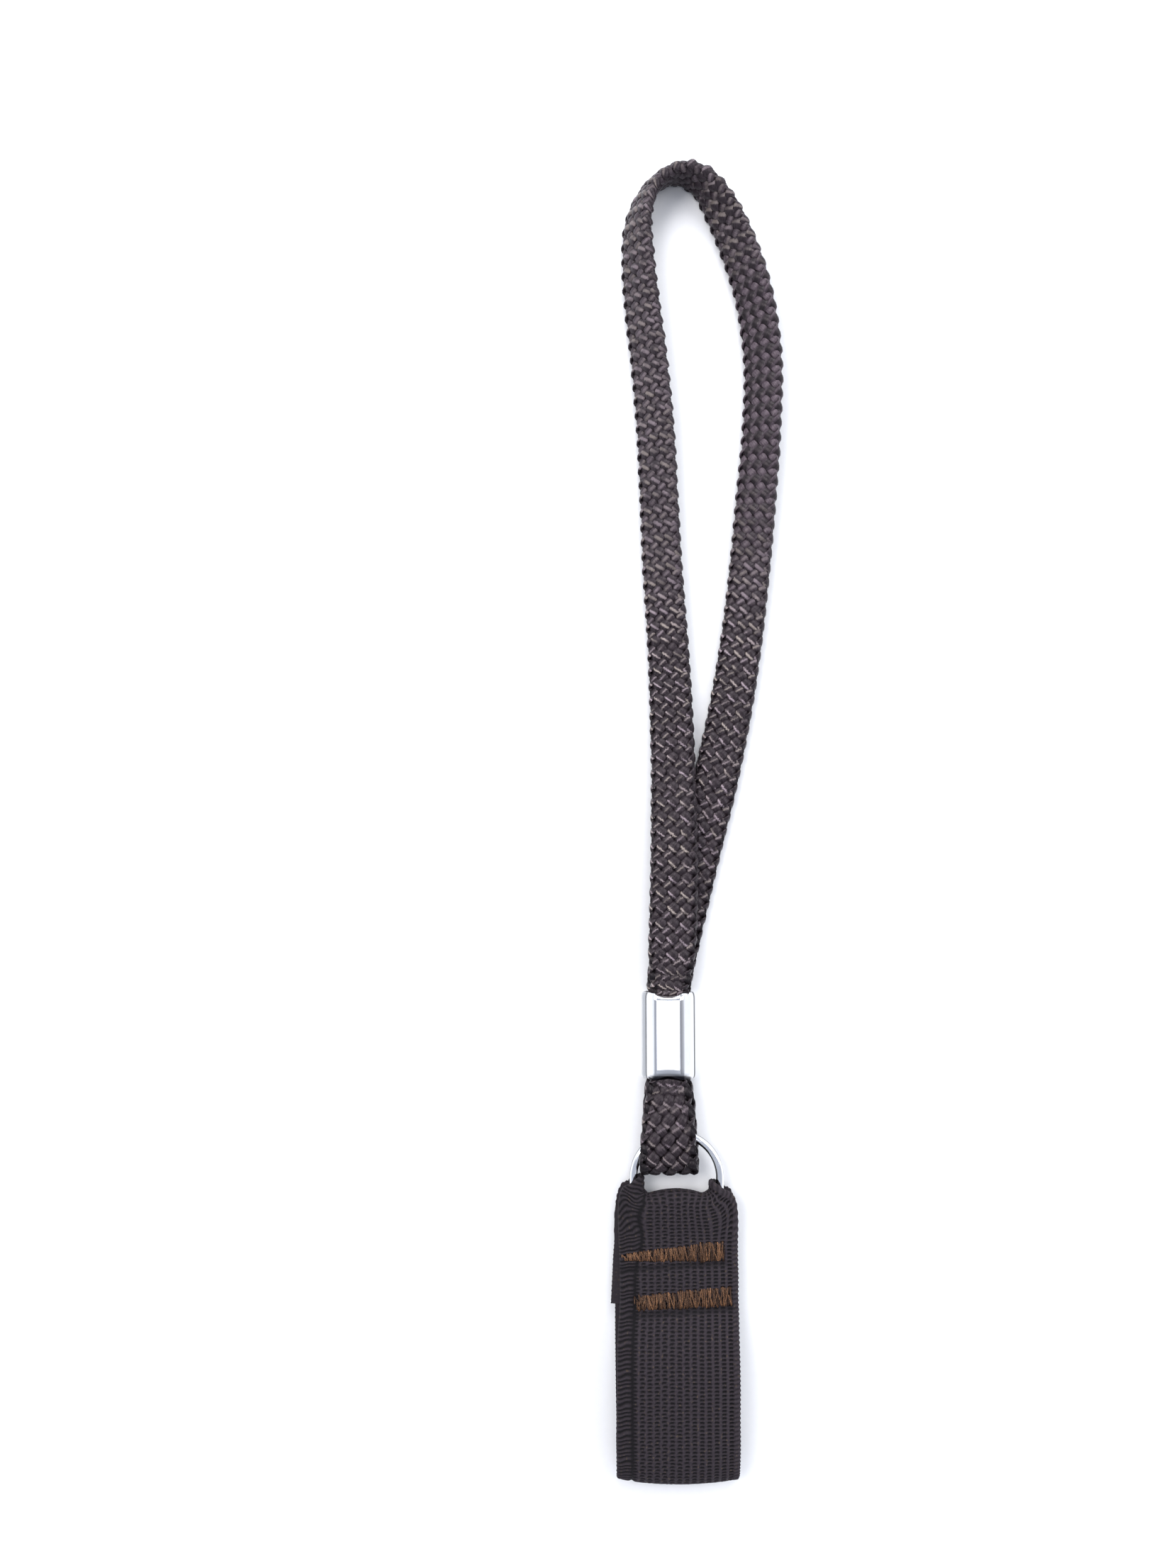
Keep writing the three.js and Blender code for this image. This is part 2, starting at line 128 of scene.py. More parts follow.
# The cord round the D-ring, from the ferrule's lower layer.
FOLD_Y = -0.0743
FOLD_LOWER_Z = 0.0014
FOLD_UPPER_Z = 0.00605
FOLD_RADIUS = (FOLD_UPPER_Z - FOLD_LOWER_Z) / 2
FOLD_X = (-0.0064, -0.0071)  # where the fold starts under the ring, and where it ends above
FOLDED = (0.00575, 0.0013)  # half width and half thickness
FOLD_STEPS = 4
LINE_PIECES = 60  # points on a smooth line between two rows of its table
RING_LOOP_START = [
    # x, y, z, half width, half thickness
    (FERRULE_X, FERRULE_MIDDLE - CORD_ENDS_GAP, LOWER_LAYER_Z, *PRESSED),
    (FERRULE_X, FERRULE_BOTTOM, LOWER_LAYER_Z, *PRESSED),
    (-0.0066, -0.062, 0.0016, 0.0050, 0.0012),
    (-0.0065, -0.067, 0.00142, 0.0053, 0.00125),
]
RING_LOOP_END = [
    (-0.0071, -0.0695, 0.00595, 0.0053, 0.00125),
    (-0.0070, -0.0645, 0.0053, 0.0050, 0.0012),
    (-0.0069, -0.0615, 0.00485, 0.0049, 0.00115),
    (-0.0068, FERRULE_BOTTOM, UPPER_LAYER_Z, *PRESSED),
    (FERRULE_X, FERRULE_MIDDLE, UPPER_LAYER_Z, *PRESSED),
]
# The wrist loop, from the ferrule's upper layer round to its lower one. lift is the height of the cord's
# lowest side, and lean turns the cord about its own line, in degrees.
LYING = 0.00005  # the lift where the cord lies on the surface
WRIST_LOOP = [
    # x, y, lift, lean, half width, half thickness
    (FERRULE_X, FERRULE_MIDDLE, UPPER_LAYER_Z - PRESSED[1], 0, *PRESSED),
    (-0.0066, FERRULE_TOP, 0.00336, 0, *PRESSED),
    (-0.0060, -0.032, 0.0033, 1, 0.00475, 0.00135),
    (-0.0056, -0.022, 0.00305, 3, 0.0048, 0.0014),
    (-0.0054, -0.012, 0.00275, 5, 0.00475, 0.00145),
    (-0.0054, -0.004, 0.0021, 7, 0.00465, 0.00145),
    (-0.0054, 0.004, 0.00115, 9, 0.00455, 0.0015),
    (-0.0057, 0.018, 0.00015, 14, 0.00445, 0.0015),
    (-0.0064, 0.033, LYING, 18, 0.0043, 0.00155),
    (-0.0074, 0.048, LYING, 21, 0.00425, 0.0016),
    (-0.0081, 0.064, LYING, 25, 0.0042, 0.0016),
    (-0.0088, 0.079, LYING, 30, 0.00425, 0.0016),
    (-0.0102, 0.095, LYING, 36, 0.0043, 0.0016),
    (-0.0115, 0.106, LYING, 41, 0.00435, 0.0016),
    (-0.0124, 0.1165, LYING, 48, 0.00435, 0.00165),
    (-0.0122, 0.126, LYING, 58, 0.0043, 0.0017),
    (-0.0092, 0.1329, LYING, 69, 0.0042, 0.00175),
    (-0.0036, 0.1358, LYING, 82, 0.0042, 0.0017),
    (0.0015, 0.1339, LYING, 104, 0.0042, 0.0017),
    (0.0054, 0.1286, LYING, 125, 0.0043, 0.00165),
    (0.0089, 0.121, LYING, 136, 0.00435, 0.0016),
    (0.0124, 0.110, LYING, 140, 0.00435, 0.0016),
    (0.0145, 0.095, LYING, 143, 0.00435, 0.0016),
    (0.0141, 0.079, LYING, 147, 0.0043, 0.0016),
    (0.0128, 0.064, LYING, 157, 0.0043, 0.0016),
    (0.0113, 0.0485, LYING, 166, 0.00425, 0.00155),
    (0.0094, 0.033, LYING, 172, 0.0043, 0.0015),
    (0.0069, 0.018, LYING, 176, 0.00445, 0.00145),
    (0.0036, 0.0028, LYING, 179, 0.0046, 0.0014),
    (-0.0002, -0.012, LYING, 180, 0.00465, 0.00135),
    (-0.0038, -0.0265, LYING, 180, 0.0047, 0.0013),
    (-0.0059, -0.036, 0.00025, 180, 0.0046, 0.0012),
    (-0.0066, FERRULE_TOP, 0.00065, 180, *PRESSED),
    (FERRULE_X, FERRULE_MIDDLE, LOWER_LAYER_Z - PRESSED[1], 180, *PRESSED),
]

# ---- The ferrule's shell ----
FERRULE_OUTLINE = [
    # across, up, rounding, painted dark reflection and shade
    (0.0, 0.0, 0.0, 0),
    (0.0046, 0.0, 0.0005, 0),
    (0.0053, 0.0007, 0.0005, 0),
    (0.0056, 0.0020, 0.0005, 0.05),
    (0.0055, 0.0034, 0.0002, 0.12),
    (0.0053, 0.0038, 0.0001, 0.8),
    (0.00515, 0.0040, 0.0001, 0.9),
    (0.0050, 0.0043, 0.0002, 0.15),
    (0.0044, 0.0049, 0.0, 0.02),
    (0.0031, 0.00605, 0.0, 0.02),
    (0.0029, 0.0062, 0.00008, 0.30),
    (0.0023, 0.0065, 0.00008, 0.55),
    (0.0021, 0.0066, 0.0, 0),
    *((across, 0.0066, 0.0, 0) for across in np.linspace(0.00195, -0.00255, 11)),
    (-0.0027, 0.0066, 0.0, 0.04),
    (-0.0029, 0.0065, 0.00008, 0.20),
    (-0.00315, 0.0064, 0.00008, 0.12),
    (-0.0035, 0.0061, 0.0, 0.04),
    (-0.0044, 0.0050, 0.0002, 0),
    (-0.0046, 0.0045, 0.0001, 0.2),
    (-0.00466, 0.0039, 0.0001, 0.8),
    (-0.00476, 0.0038, 0.0001, 0.8),
    (-0.00485, 0.0037, 0.0001, 0.45),
    (-0.00545, 0.0033, 0.0002, 0.38),
    (-0.0056, 0.0020, 0.0005, 0.30),
    (-0.0053, 0.0007, 0.0005, 0),
    (-0.0046, 0.0, 0.0005, 0),
]
FLAT_FACE = 0.0011  # faces longer than this stay flat up to a guard point beside each corner
CORNER_SHARE = 2.2  # a corner's rounding takes less than half of each face beside it
CORNER_STEPS = (0, 0.25, 0.5, 0.75, 1)
FLAT_GUARD = 0.00012  # from a corner's rounding to that guard
FERRULE_WALL = 0.0005
FERRULE_FRONT_Z = 0.0066
FRONT_RISE = 0.0016  # from the corners of the front up to its plate
PLATE_MIDDLE = -0.0003
PLATE_HALF_WIDTH = 0.0033
TOP_SCOOP = 0.0007  # how far the plate's top edge curves in
TOP_DIP = 0.00025  # and down
TOP_REACH = 0.0014
BOTTOM_DIP = 0.0009  # how far its bottom edge curves down
BOTTOM_REACH = 0.0019
BOTTOM_DARK_LENS = 0.0016  # how far the painted dark reflection there reaches up
LEAST_DARK_LENS = 0.0002
LENS_REACH = 0.0047  # half the width of the painted dark reflection at the bottom edge
LENS_LOW = 0.0045  # the height that it fades in from
LENS_RISE = 0.0006
FERRULE_LIP = [
    # depth into the wall, distance from the end
    (0.0, 0.0016),
    (0.0, 0.0012),
    (0.00003, 0.0008),
    (0.00011, 0.00045),
    (0.00024, 0.00018),
    (0.00042, 0.00004),
    (0.00060, 0.0),
    (0.00076, 0.00010),
    (0.00084, 0.00035),
    (0.00084, 0.0010),
]

# ---- D-ring ----
WIRE_RADIUS = 0.0008
RING_RADIUS = 0.0088
RING_ARC_CENTRE = 0.0050  # from the bar to the centre of the arc
RING_CORNER = 0.0028
RING_RISE = 0.0008  # from the bar to the top of the arc
RING_TILT = math.atan2(RING_RISE, RING_ARC_CENTRE + RING_RADIUS)
RING_X = (ring_low.x + ring_high.x) / 2
BAR_Y = ring_low.y + WIRE_RADIUS
BAR_Z = ring_low.z + WIRE_RADIUS
WIRE_SIDES = 40

# ---- Elastic ----
BAND_HALF_THICKNESS = 0.00065
BAND_X = RING_X
HALF_STRIP = 0.0123  # half the strip's width, for the places of its threads
WRAP_RADIUS = 0.0017
WRAP_REACH = 0.0133  # along the wire, from the bar's middle to the strip's left edge
RIGHT_REACH = 0.0121
WRAP_CLOSER = 0.0016  # how much less both are where the strip leaves the wire
EDGE_TILT = 0.55  # in radians, how far the strip's edges turn back on the wire
ARCHED = 0.0004  # how much further from the bar the strip stands at its middle
ARCHED_SHARE = 0.28  # of half its width, out to which it stands further off
ARCHED_LEAST = -1.2  # beyond that it lies closer, by at most this many times ARCHED
WRAP_STEPS = 8
# Between the wire and its flat part, the strip fans out.
FAN_STEPS = 6
FAN_PULL = 0.010  # how strongly it keeps its direction at both ends of the fan
BAND_BOTTOM = -0.1372
BOTTOM_ARCH = 0.0010  # how much higher the bottom fold's two corners lie than its middle
ARCH_REACH = 0.007
# The strip's side view, from its end under the bar tacks, round the bottom fold and up to the front.
BAND_PROFILE = [
    # y, z, half width, shift
    (-0.0925, 0.00065, 0.0121, -0.0004),
    (-0.098, 0.00065, 0.0121, -0.0004),
    (-0.104, 0.00065, 0.0122, -0.0003),
    (-0.110, 0.00065, 0.0123, -0.0002),
    (-0.120, 0.00065, 0.0123, -0.0001),
    (-0.127, 0.00065, 0.0122, -0.0001),
    (-0.131, 0.00065, 0.01215, -0.0002),
    (-0.1342, 0.0008, 0.0121, -0.0002),
    (-0.1362, 0.00145, 0.0121, -0.0002),
    (-0.1372, 0.0026, 0.0121, -0.0002),
    (-0.1371, 0.0040, 0.0121, -0.0002),
    (-0.1360, 0.00525, 0.0121, -0.0002),
    (-0.1336, 0.0062, 0.0121, -0.0002),
    (-0.1295, 0.0068, 0.01215, -0.0002),
    (-0.124, 0.0070, 0.01215, -0.0002),
    (-0.1185, 0.0069, 0.0122, -0.00015),
    (-0.113, 0.0062, 0.0122, -0.0001),
    (-0.1085, 0.0050, 0.0121, 0.00005),
    (-0.105, 0.00395, 0.0120, 0.00025),
    (-0.102, 0.00365, 0.0119, 0.0003),
    (-0.098, 0.0037, 0.01195, 0.0003),
    (-0.094, 0.00365, 0.01195, 0.00025),
    (-0.0915, 0.00372, 0.0120, 0.0002),
]
# The first end of the strip, from below the bar down to its cut edge between the other two layers.
MIDDLE_LAYER = [
    # y, z, half width, shift
    (-0.0915, 0.00215, 0.0120, -0.0007),
    (-0.094, 0.00215, 0.0120, -0.0009),
    (-0.098, 0.00215, 0.0120, -0.0011),
    (-0.1036, 0.00215, 0.0120, -0.0014),
]
BAND_STEP = 0.000144  # along the strip, a fifth of a row of its weave
BAND_PIECES = 40  # points on a smooth line between two of its rows
BAND_ACROSS = 84  # columns of the mesh over its outer face
BAND_INSIDE = 8  # and over its inner one
WEAVE_ROW = 0.00072
WEAVE_COLUMN = 0.00148
FIRST_COLUMN = 0.00509  # from the strip's left edge
RIB_ROW = 0.00087
WEAVE_HOLLOW = 0.00028
EDGE_HOLLOW = 0.00042  # between the ribs of the two selvedges
EDGE_SCALLOP = 0.00030
LEFT_SELVEDGE = 0.0028
LEFT_SELVEDGE_WIDER = 0.0020  # by so much above the tacks
LEFT_SELVEDGE_WIDENS = (-0.099, -0.088)  # between these places up the strip
RIGHT_SELVEDGE = 0.0013
RIBS_SLANT_MORE = (-0.094, -0.084)
GROOVE_OFF = 0.0003  # from the left selvedge to the middle of the groove beside it
GROOVE_HALF = 0.00040
SELVEDGES_FROM = 0.0093  # from the strip's middle
INSIDE_RISE = 0.55  # of the inner face, for its shade
EDGE_ROUNDING = 0.0005
DENT_DEPTH = 0.00015  # where the bar tacks pull the strip in
DENT_HALF = 0.0021
CREASE_DEPTH = 0.00020  # and in the crease below each
CREASE_HALF = 0.00065

# ---- Bar tacks ----
TACK_THREAD = 0.00012  # radius
THREAD_SIDES = 6
TACKS = [
    # left x, left y, right x, right y, height at the left, height at the right
    (-0.0163, -0.0941, 0.0038, -0.0928, 0.0009, 0.0039),
    (-0.0139, -0.1030, 0.0053, -0.1016, 0.0027, 0.0035),
]
TACK_PITCH = 0.00084  # for one turn of the zigzag, up and down
TACK_STEPS = 24  # points for one turn
TACK_TAPER = 0.7  # a power: under 1, a tack reaches its full height sooner
TACK_SINK = 0.00040  # how far the ends of its strokes sink into the elastic
TACK_CROWN = 0.00050  # and how far their middles stand above those
TACK_CREASE = 0.0024  # from a tack's middle down to the crease that it pulls into the elastic
STROKE_UNEVEN = 0.13
STROKE_ASTRAY = 0.00012
STROKE_POINT = 0.985  # 1 gives the zigzag sharp turns
SPARE_STROKES = 4  # random numbers beyond the last stroke, for the passes that start late
FRONT_LAYER_FROM = 0.003  # the height above which the strip's rows belong to its front layer
TACK_PASSES = [
    # start, slant, on the underside
    (0.0, -0.00040, False),
    (0.36, 0.00020, False),
    (0.70, -0.00022, False),
    (0.2, 0.0001, True),
]

# ---- Surroundings ----
FLOOR_HALF = 5.0
FLOOR_BELOW = 0.00005  # keeps it clear of the lowest threads
SKY_UP = (0.0, -0.3, 1.0)
SKY_STOPS = [
    # height, from 0 at the horizon to 1 overhead, colour
    (0.38, (1.08, 1.12, 1.22, 1)),
    (0.68, (0.50, 0.53, 0.62, 1)),
]
LIGHTS = [
    # name, place, aim, size, power, colour
    ("left_light", (-0.55, 0.25, 0.85), (0, 0, 0), 0.60, 5.5, (1.0, 0.98, 0.97)),
    ("far_light", (0.05, 0.80, 0.65), (0, 0, 0), 0.60, 4.3, (1.0, 1.0, 1.0)),
    ("right_light", (0.75, 0.20, 0.65), (0, 0, 0), 0.60, 3.4, (0.97, 0.98, 1.0)),
    ("ferrule_light", (0.053, -0.162, 0.9), (-0.0065, -0.05, 0), 0.26, 0.42, (1.0, 1.0, 1.0)),
]

random = np.random.default_rng(11)


# ---- Small tools for lines and meshes ----
def unit(vectors):
    return vectors / np.maximum(np.linalg.norm(vectors, axis=-1, keepdims=True), 1e-12)


def smoothstep(values, low, high):
    share = np.clip((np.asarray(values, float) - low) / (high - low), 0, 1)
    return share * share * (3 - 2 * share)


def signed_power(values, exponent):
    return np.sign(values) * np.abs(values) ** exponent


def wave(turns, exponent):
    """From 1 at whole turns down to 0 between them."""
    return (0.5 + 0.5 * np.cos(2 * np.pi * turns)) ** exponent


def along_line(points):
    """The distance of each point of a line from its start."""
    steps = np.linalg.norm(np.diff(points, axis=0), axis=-1)
    return np.concatenate([[0], np.cumsum(steps)])


def hermite(start, end, leaving, arriving, t):
    """Places between two ends of a line, t from 0 to 1, with its direction at each end."""
    return (
        start * (2 * t**3 - 3 * t**2 + 1)
        + leaving * (t**3 - 2 * t**2 + t)
        + end * (3 * t**2 - 2 * t**3)
        + arriving * (t**3 - t**2)
    )


def smooth_line(rows, pieces):
    """A Catmull-Rom line through rows of numbers, whose knots are spaced by the root of the distance between
    the first three numbers of two rows."""
    rows = np.asarray(rows, float)
    rows = np.vstack([2 * rows[0] - rows[1], rows, 2 * rows[-1] - rows[-2]])
    gaps = np.sqrt(np.linalg.norm(np.diff(rows[:, :3], axis=0), axis=1))
    t = np.arange(pieces)[:, None] / pieces
    found = []
    for i in range(1, len(rows) - 2):
        before, here, after = gaps[i - 1 : i + 2]
        step = rows[i + 1] - rows[i]
        leaving = (rows[i] - rows[i - 1]) / before - (rows[i + 1] - rows[i - 1]) / (before + here)
        arriving = (rows[i + 2] - rows[i + 1]) / after - (rows[i + 2] - rows[i]) / (here + after)
        found.append(hermite(rows[i], rows[i + 1], leaving * here + step, arriving * here + step, t))
    return np.vstack([*found, rows[-2:-1]])


def even_steps(rows, step):
    """The same line with points at even steps."""
    far = along_line(rows[:, :3])
    places = np.linspace(0, far[-1], round(far[-1] / step) + 1)
    return np.stack([np.interp(places, far, column) for column in rows.T], axis=1)


def grid_faces(rows, columns, first=0, closed_rows=False):
    """Quads over rings of points, with each ring closed. Flat ends are added unless the rows meet."""
    i = np.arange(rows if closed_rows else rows - 1)[:, None]
    k = np.arange(columns)[None, :]
    here, ahead = i * columns, ((i + 1) % rows) * columns
    beside = (k + 1) % columns
    quads = np.stack([here + k, here + beside, ahead + beside, ahead + k], axis=-1).reshape(-1, 4) + first
    faces = quads.tolist()
    if not closed_rows:
        faces.append([first + c for c in range(columns)][::-1])
        faces.append([first + (rows - 1) * columns + c for c in range(columns)])
    return faces


def mesh_piece(name, points, faces, material, **values):
    """A smooth mesh object, with named values on its points."""
    mesh = bpy.data.meshes.new(name)
    mesh.from_pydata(np.asarray(points, float).tolist(), [], faces)
    for key, numbers in values.items():
        layer = mesh.attributes.new(key, "FLOAT", "POINT")
        layer.data.foreach_set("value", np.ascontiguousarray(numbers, np.float32).ravel())
    mesh.shade_smooth()
    mesh.materials.append(material)
    piece = bpy.data.objects.new(name, mesh)
    bpy.context.scene.collection.objects.link(piece)
    return piece


def tube_rings(line, radius, sides):
    """Rings of points round a line."""
    along = unit(np.gradient(line, axis=0))
    side = unit(np.cross(along, (0.0, 0.0, 1.0)))
    top = np.cross(side, along)
    turn = np.arange(sides) / sides * 2 * np.pi
    spokes = side[:, None] * np.cos(turn)[None, :, None] + top[:, None] * np.sin(turn)[None, :, None]
    return line[:, None] + spokes * radius


# ---- Materials ----
class Value:
    """A node's socket. Sums on values add their Math nodes."""

    def __init__(self, tree, socket):
        self.tree = tree
        self.socket = socket

    def __add__(self, other):
        return self.tree.sum("ADD", self, other)

    def __sub__(self, other):
        return self.tree.sum("SUBTRACT", self, other)

    def __mul__(self, other):
        return self.tree.sum("MULTIPLY", self, other)

    def __rsub__(self, other):
        return self.tree.sum("SUBTRACT", other, self)

    def __abs__(self):
        return self.tree.sum("ABSOLUTE", self, 0.0)

    __radd__ = __add__
    __rmul__ = __mul__


class Tree:
    """Makes the nodes of a material or of the world."""

    def __init__(self, owner):
        owner.use_nodes = True
        self.nodes = owner.node_tree.nodes
        self.links = owner.node_tree.links

    def set_sockets(self, node, values):
        for key, value in values.items():
            if isinstance(value, Value):
                self.links.new(value.socket, node.inputs[key])
            else:
                node.inputs[key].default_value = value

    def node(self, kind, settings, values, output=0):
        """A node of a kind, with its settings first and then the values or links of its sockets."""
        made = self.nodes.new("ShaderNode" + kind)
        for key, setting in settings.items():
            if key == "stops":
                for stop, (place, colour) in zip(made.color_ramp.elements, setting):
                    stop.position = place
                    stop.color = colour
            else:
                setattr(made, key, setting)
        self.set_sockets(made, values)
        return Value(self, made.outputs[output])

    def sum(self, operation, first, second):
        return self.node("Math", {"operation": operation}, {0: first, 1: second})


class Look(Tree):
    """A material. Its shader's own sockets are given as numbers first."""

    def __init__(self, name, shader):
        self.material = bpy.data.materials.new(name)
        super().__init__(self.material)
        self.shader = self.nodes["Principled BSDF"]
        self.set_sockets(self.shader, shader)

    def point_value(self, name):
        return self.node("Attribute", {"attribute_name": name}, {}, "Fac")

    def place(self):
        return self.node("TexCoord", {}, {}, "Object")

    def vector(self, x, y, z):
        return self.node("CombineXYZ", {}, {0: x, 1: y, 2: z})

    def noise(self, vector, scale, detail):
        return self.node("TexNoise", {}, {"Vector": vector, "Scale": scale, "Detail": detail}, "Fac")

    def between(self, value, low, high):
        """From 0 at low to 1 at high, and level beyond them."""
        return self.node("MapRange", {"clamp": True}, {"Value": value, "From Min": low, "From Max": high})

    def mix(self, factor, first, second):
        """One colour into another."""
        return self.node("Mix", {"data_type": "RGBA"}, {0: factor, 6: first, 7: second}, 2)

    def bump(self, height, distance, strength):
        return self.node("Bump", {}, {"Height": height, "Distance": distance, "Strength": strength})

    def shade(self, **values):
        """Links what varies over the surface, and returns the finished material."""
        self.set_sockets(self.shader, {key.replace("_", " "): value for key, value in values.items()})
        return self.material


def yarn_look(name, strength):
    """Shiny brown filament yarn: fine streaks along the fibres, painted glints, a painted pale sheen, and
    painted shade up the loop and where a yarn dives under.
    """
    look = Look(
        name,
        {
            "Specular IOR Level": 0.28,
            "Specular Tint": (1.0, 0.90, 0.95, 1),
            "Sheen Weight": 0.03,
            "Sheen Roughness": 0.35,
            "Sheen Tint": (0.75, 0.66, 0.72, 1),
        },
    )
    dark, lit = (0.0085, 0.0058, 0.0075, 1), (0.033, 0.0240, 0.0290, 1)
    # Colours of painted light and shade: the glints, the darker shade up the loop, the pale sheen, and the
    # shade where a yarn dives under.
    mauve_glint, tan_glint = (0.415, 0.335, 0.370, 1), (0.43, 0.365, 0.325, 1)
    painted_shade_up_loop, painted_pale_net = (0.0060, 0.0042, 0.0055, 1), (0.155, 0.118, 0.142, 1)
    under = (0.004, 0.003, 0.004, 1)

    along, across = look.point_value("along"), look.point_value("across")
    tone, crest, glint = (look.point_value(key) for key in ("tone", "crest", "glint"))
    veil, crisp, soft = (look.point_value(key) for key in ("veil", "crisp", "soft"))
    fibres = look.noise(look.vector(along * 700, across * 4.5, tone * 9), 1.0, 3.0)
    comb = look.noise(look.vector(along * 900, across * 9.0, tone * 7), 1.0, 2.0)
    patches = look.noise(look.place(), 420.0, 1.0)

    # The comb gives a painted stroke of light its ragged ends.
    ragged = (comb - 0.5) * (4.8 - 1.5 * soft)
    stroke = look.between(abs(glint + ragged) - 1.3 * soft, 1.35, 0.15)
    stroke = stroke * crisp * (strength * look.between(patches, 0.28, 0.55))
    shade = look.mix(look.between(fibres, 0.34, 0.70), dark, lit)
    # Painted shade: the yarns darker up the loop.
    shade = look.mix(0.58 * soft, shade, painted_shade_up_loop)
    # Painted sheen: a pale net or pale patches on the yarns.
    shade = look.mix(veil * (0.45 + 0.55 * look.between(fibres, 0.30, 0.60)), shade, painted_pale_net)
    # The painted glint strokes, in mauve or tan.
    shade = look.mix(stroke, shade, look.mix(look.between(tone, 0.25, 0.75), mauve_glint, tan_glint))
    # Painted shade where a yarn dives under, and on the fold's side that turns down.
    shade = look.mix(look.between(crest, 0.05, 0.60), under, shade)
    return look.shade(
        Base_Color=shade,
        Roughness=0.42 - 0.18 * look.between(comb, 0.4, 0.65),
        Normal=look.bump(fibres + 0.5 * comb, 0.00008, 0.8),
    )


def elastic_look():
    """Dull dark elastic: painted shade in the hollows of the weave, in the groove and in the creases below
    the tacks, with paler thread tops.
    """
    look = Look(
        "brown_woven_elastic",
        {
            "Specular IOR Level": 0.22,
            "Sheen Weight": 0.03,
            "Sheen Roughness": 0.5,
            "Sheen Tint": (0.80, 0.74, 0.80, 1),
        },
    )
    # Painted shade: the hollow colours go where the rise is low, in the hollows, the groove and the creases.
    hollow, hollow_shade_paler = (0.0034, 0.0027, 0.0038, 1), (0.0052, 0.0040, 0.0052, 1)
    top, top_lit = (0.0150, 0.0117, 0.0155, 1), (0.056, 0.0440, 0.0525, 1)
    fleck = (0.075, 0.055, 0.042, 1)

    rise, along, across = (look.point_value(key) for key in ("rise", "along", "across"))
    threads = look.noise(look.vector(along * 2600, across * 5200, 0.0), 1.0, 3.0)
    patches = look.noise(look.place(), 260.0, 3.0)
    flecks = look.noise(look.vector(along * 1500, across * 1700, 4.0), 1.0, 1.0)
    dark = look.mix(patches, hollow, hollow_shade_paler)
    pale = look.mix(look.between(flecks, 0.62, 0.74), look.mix(threads, top, top_lit), fleck)
    return look.shade(
        Base_Color=look.mix(look.between(rise, 0.15, 0.95), dark, pale),
        Roughness=0.72 + 0.2 * threads,
        Normal=look.bump(threads, 0.00016, 1.0),
    )


def tack_look():
    """Golden brown sewing thread, twisted and a little shiny."""
    look = Look(
        "golden_brown_thread",
        {
            "Specular IOR Level": 0.34,
            "Specular Tint": (1.0, 0.88, 0.77, 1),
        },
    )
    between_fibres = (0.012, 0.006, 0.004, 1)
    brown, gold = (0.036, 0.015, 0.009, 1), (0.385, 0.185, 0.088, 1)

    along, across, tone = (look.point_value(key) for key in ("along", "across", "tone"))
    twist = look.node("Math", {"operation": "SINE"}, {0: along * 14000 + across * 6.28})
    fibres = look.noise(look.vector(along * 2500, across * 9, tone * 31), 1.0, 2.0)
    thread = look.mix(look.between(tone, 0.2, 0.9), brown, gold)
    return look.shade(
        Base_Color=look.mix(look.between(fibres, 0.35, 0.7), between_fibres, thread),
        Roughness=0.30 + 0.25 * fibres,
        Normal=look.bump(twist * 0.5 + fibres, 0.00005, 0.9),
    )


def chrome_look(name, roughness, scratch_scale):
    """Bright chrome plate with fine scratches along the strap, a little dulling, and painted dark reflections
    and shade in its grooves and along its edges.
    """
    look = Look(name, {"Metallic": 1.0, "Specular IOR Level": 0.5})
    dull, bright = (0.86, 0.87, 0.88, 1), (0.93, 0.94, 0.95, 1)
    dark_reflection = (0.016, 0.015, 0.019, 1)

    # Painted dark reflections and shade, darkest where the value is 1.
    grime = look.point_value("grime")
    place = look.place()
    stretched = look.node("VectorMath", {"operation": "MULTIPLY"}, {0: place, 1: scratch_scale})
    scratches = look.noise(stretched, 1.0, 4.0)
    smears = look.noise(place, 330.0, 3.0)
    return look.shade(
        Base_Color=look.mix(grime, look.mix(smears, dull, bright), dark_reflection),
        Roughness=roughness + 0.10 * look.between(scratches, 0.52, 0.74) + 0.05 * smears,
        Normal=look.bump(scratches, 0.000012, 0.5),
    )


def floor_look():
    """Smooth white card, with the faintest tooth."""
    look = Look("white_card", {"Specular IOR Level": 0.2})
    tooth = look.noise(look.place(), 900.0, 2.0)
    return look.shade(
        Base_Color=look.mix(tooth, (0.90, 0.90, 0.905, 1), (0.93, 0.93, 0.93, 1)),
        Roughness=0.75 + 0.1 * tooth,
        Normal=look.bump(tooth, 0.00002, 0.3),
    )


# ---- Camera ----
def make_camera():
    looking = Vector((0, math.sin(VIEW_TILT), -math.cos(VIEW_TILT)))
    camera = bpy.data.objects.new("camera", bpy.data.cameras.new("camera"))
    camera.data.lens = VIEW_LENS
    camera.data.sensor_width = VIEW_SENSOR
    camera.data.clip_start = VIEW_NEAREST
    camera.location = VIEW_AIM - looking * VIEW_DISTANCE
    camera.rotation_euler = (VIEW_TILT, 0, 0)
    bpy.context.scene.collection.objects.link(camera)
    bpy.context.scene.camera = camera


# ---- The cord's line and its sections ----
def reach_below(lean, half_width, half_thickness):
    """How far a leaning section reaches below its middle."""
    q = CORD_SQUARENESS / (CORD_SQUARENESS - 1)
    across = np.abs(half_width * np.sin(lean))
    through = np.abs(half_thickness * np.cos(lean))
    return (across**q + through**q) ** (1 / q)


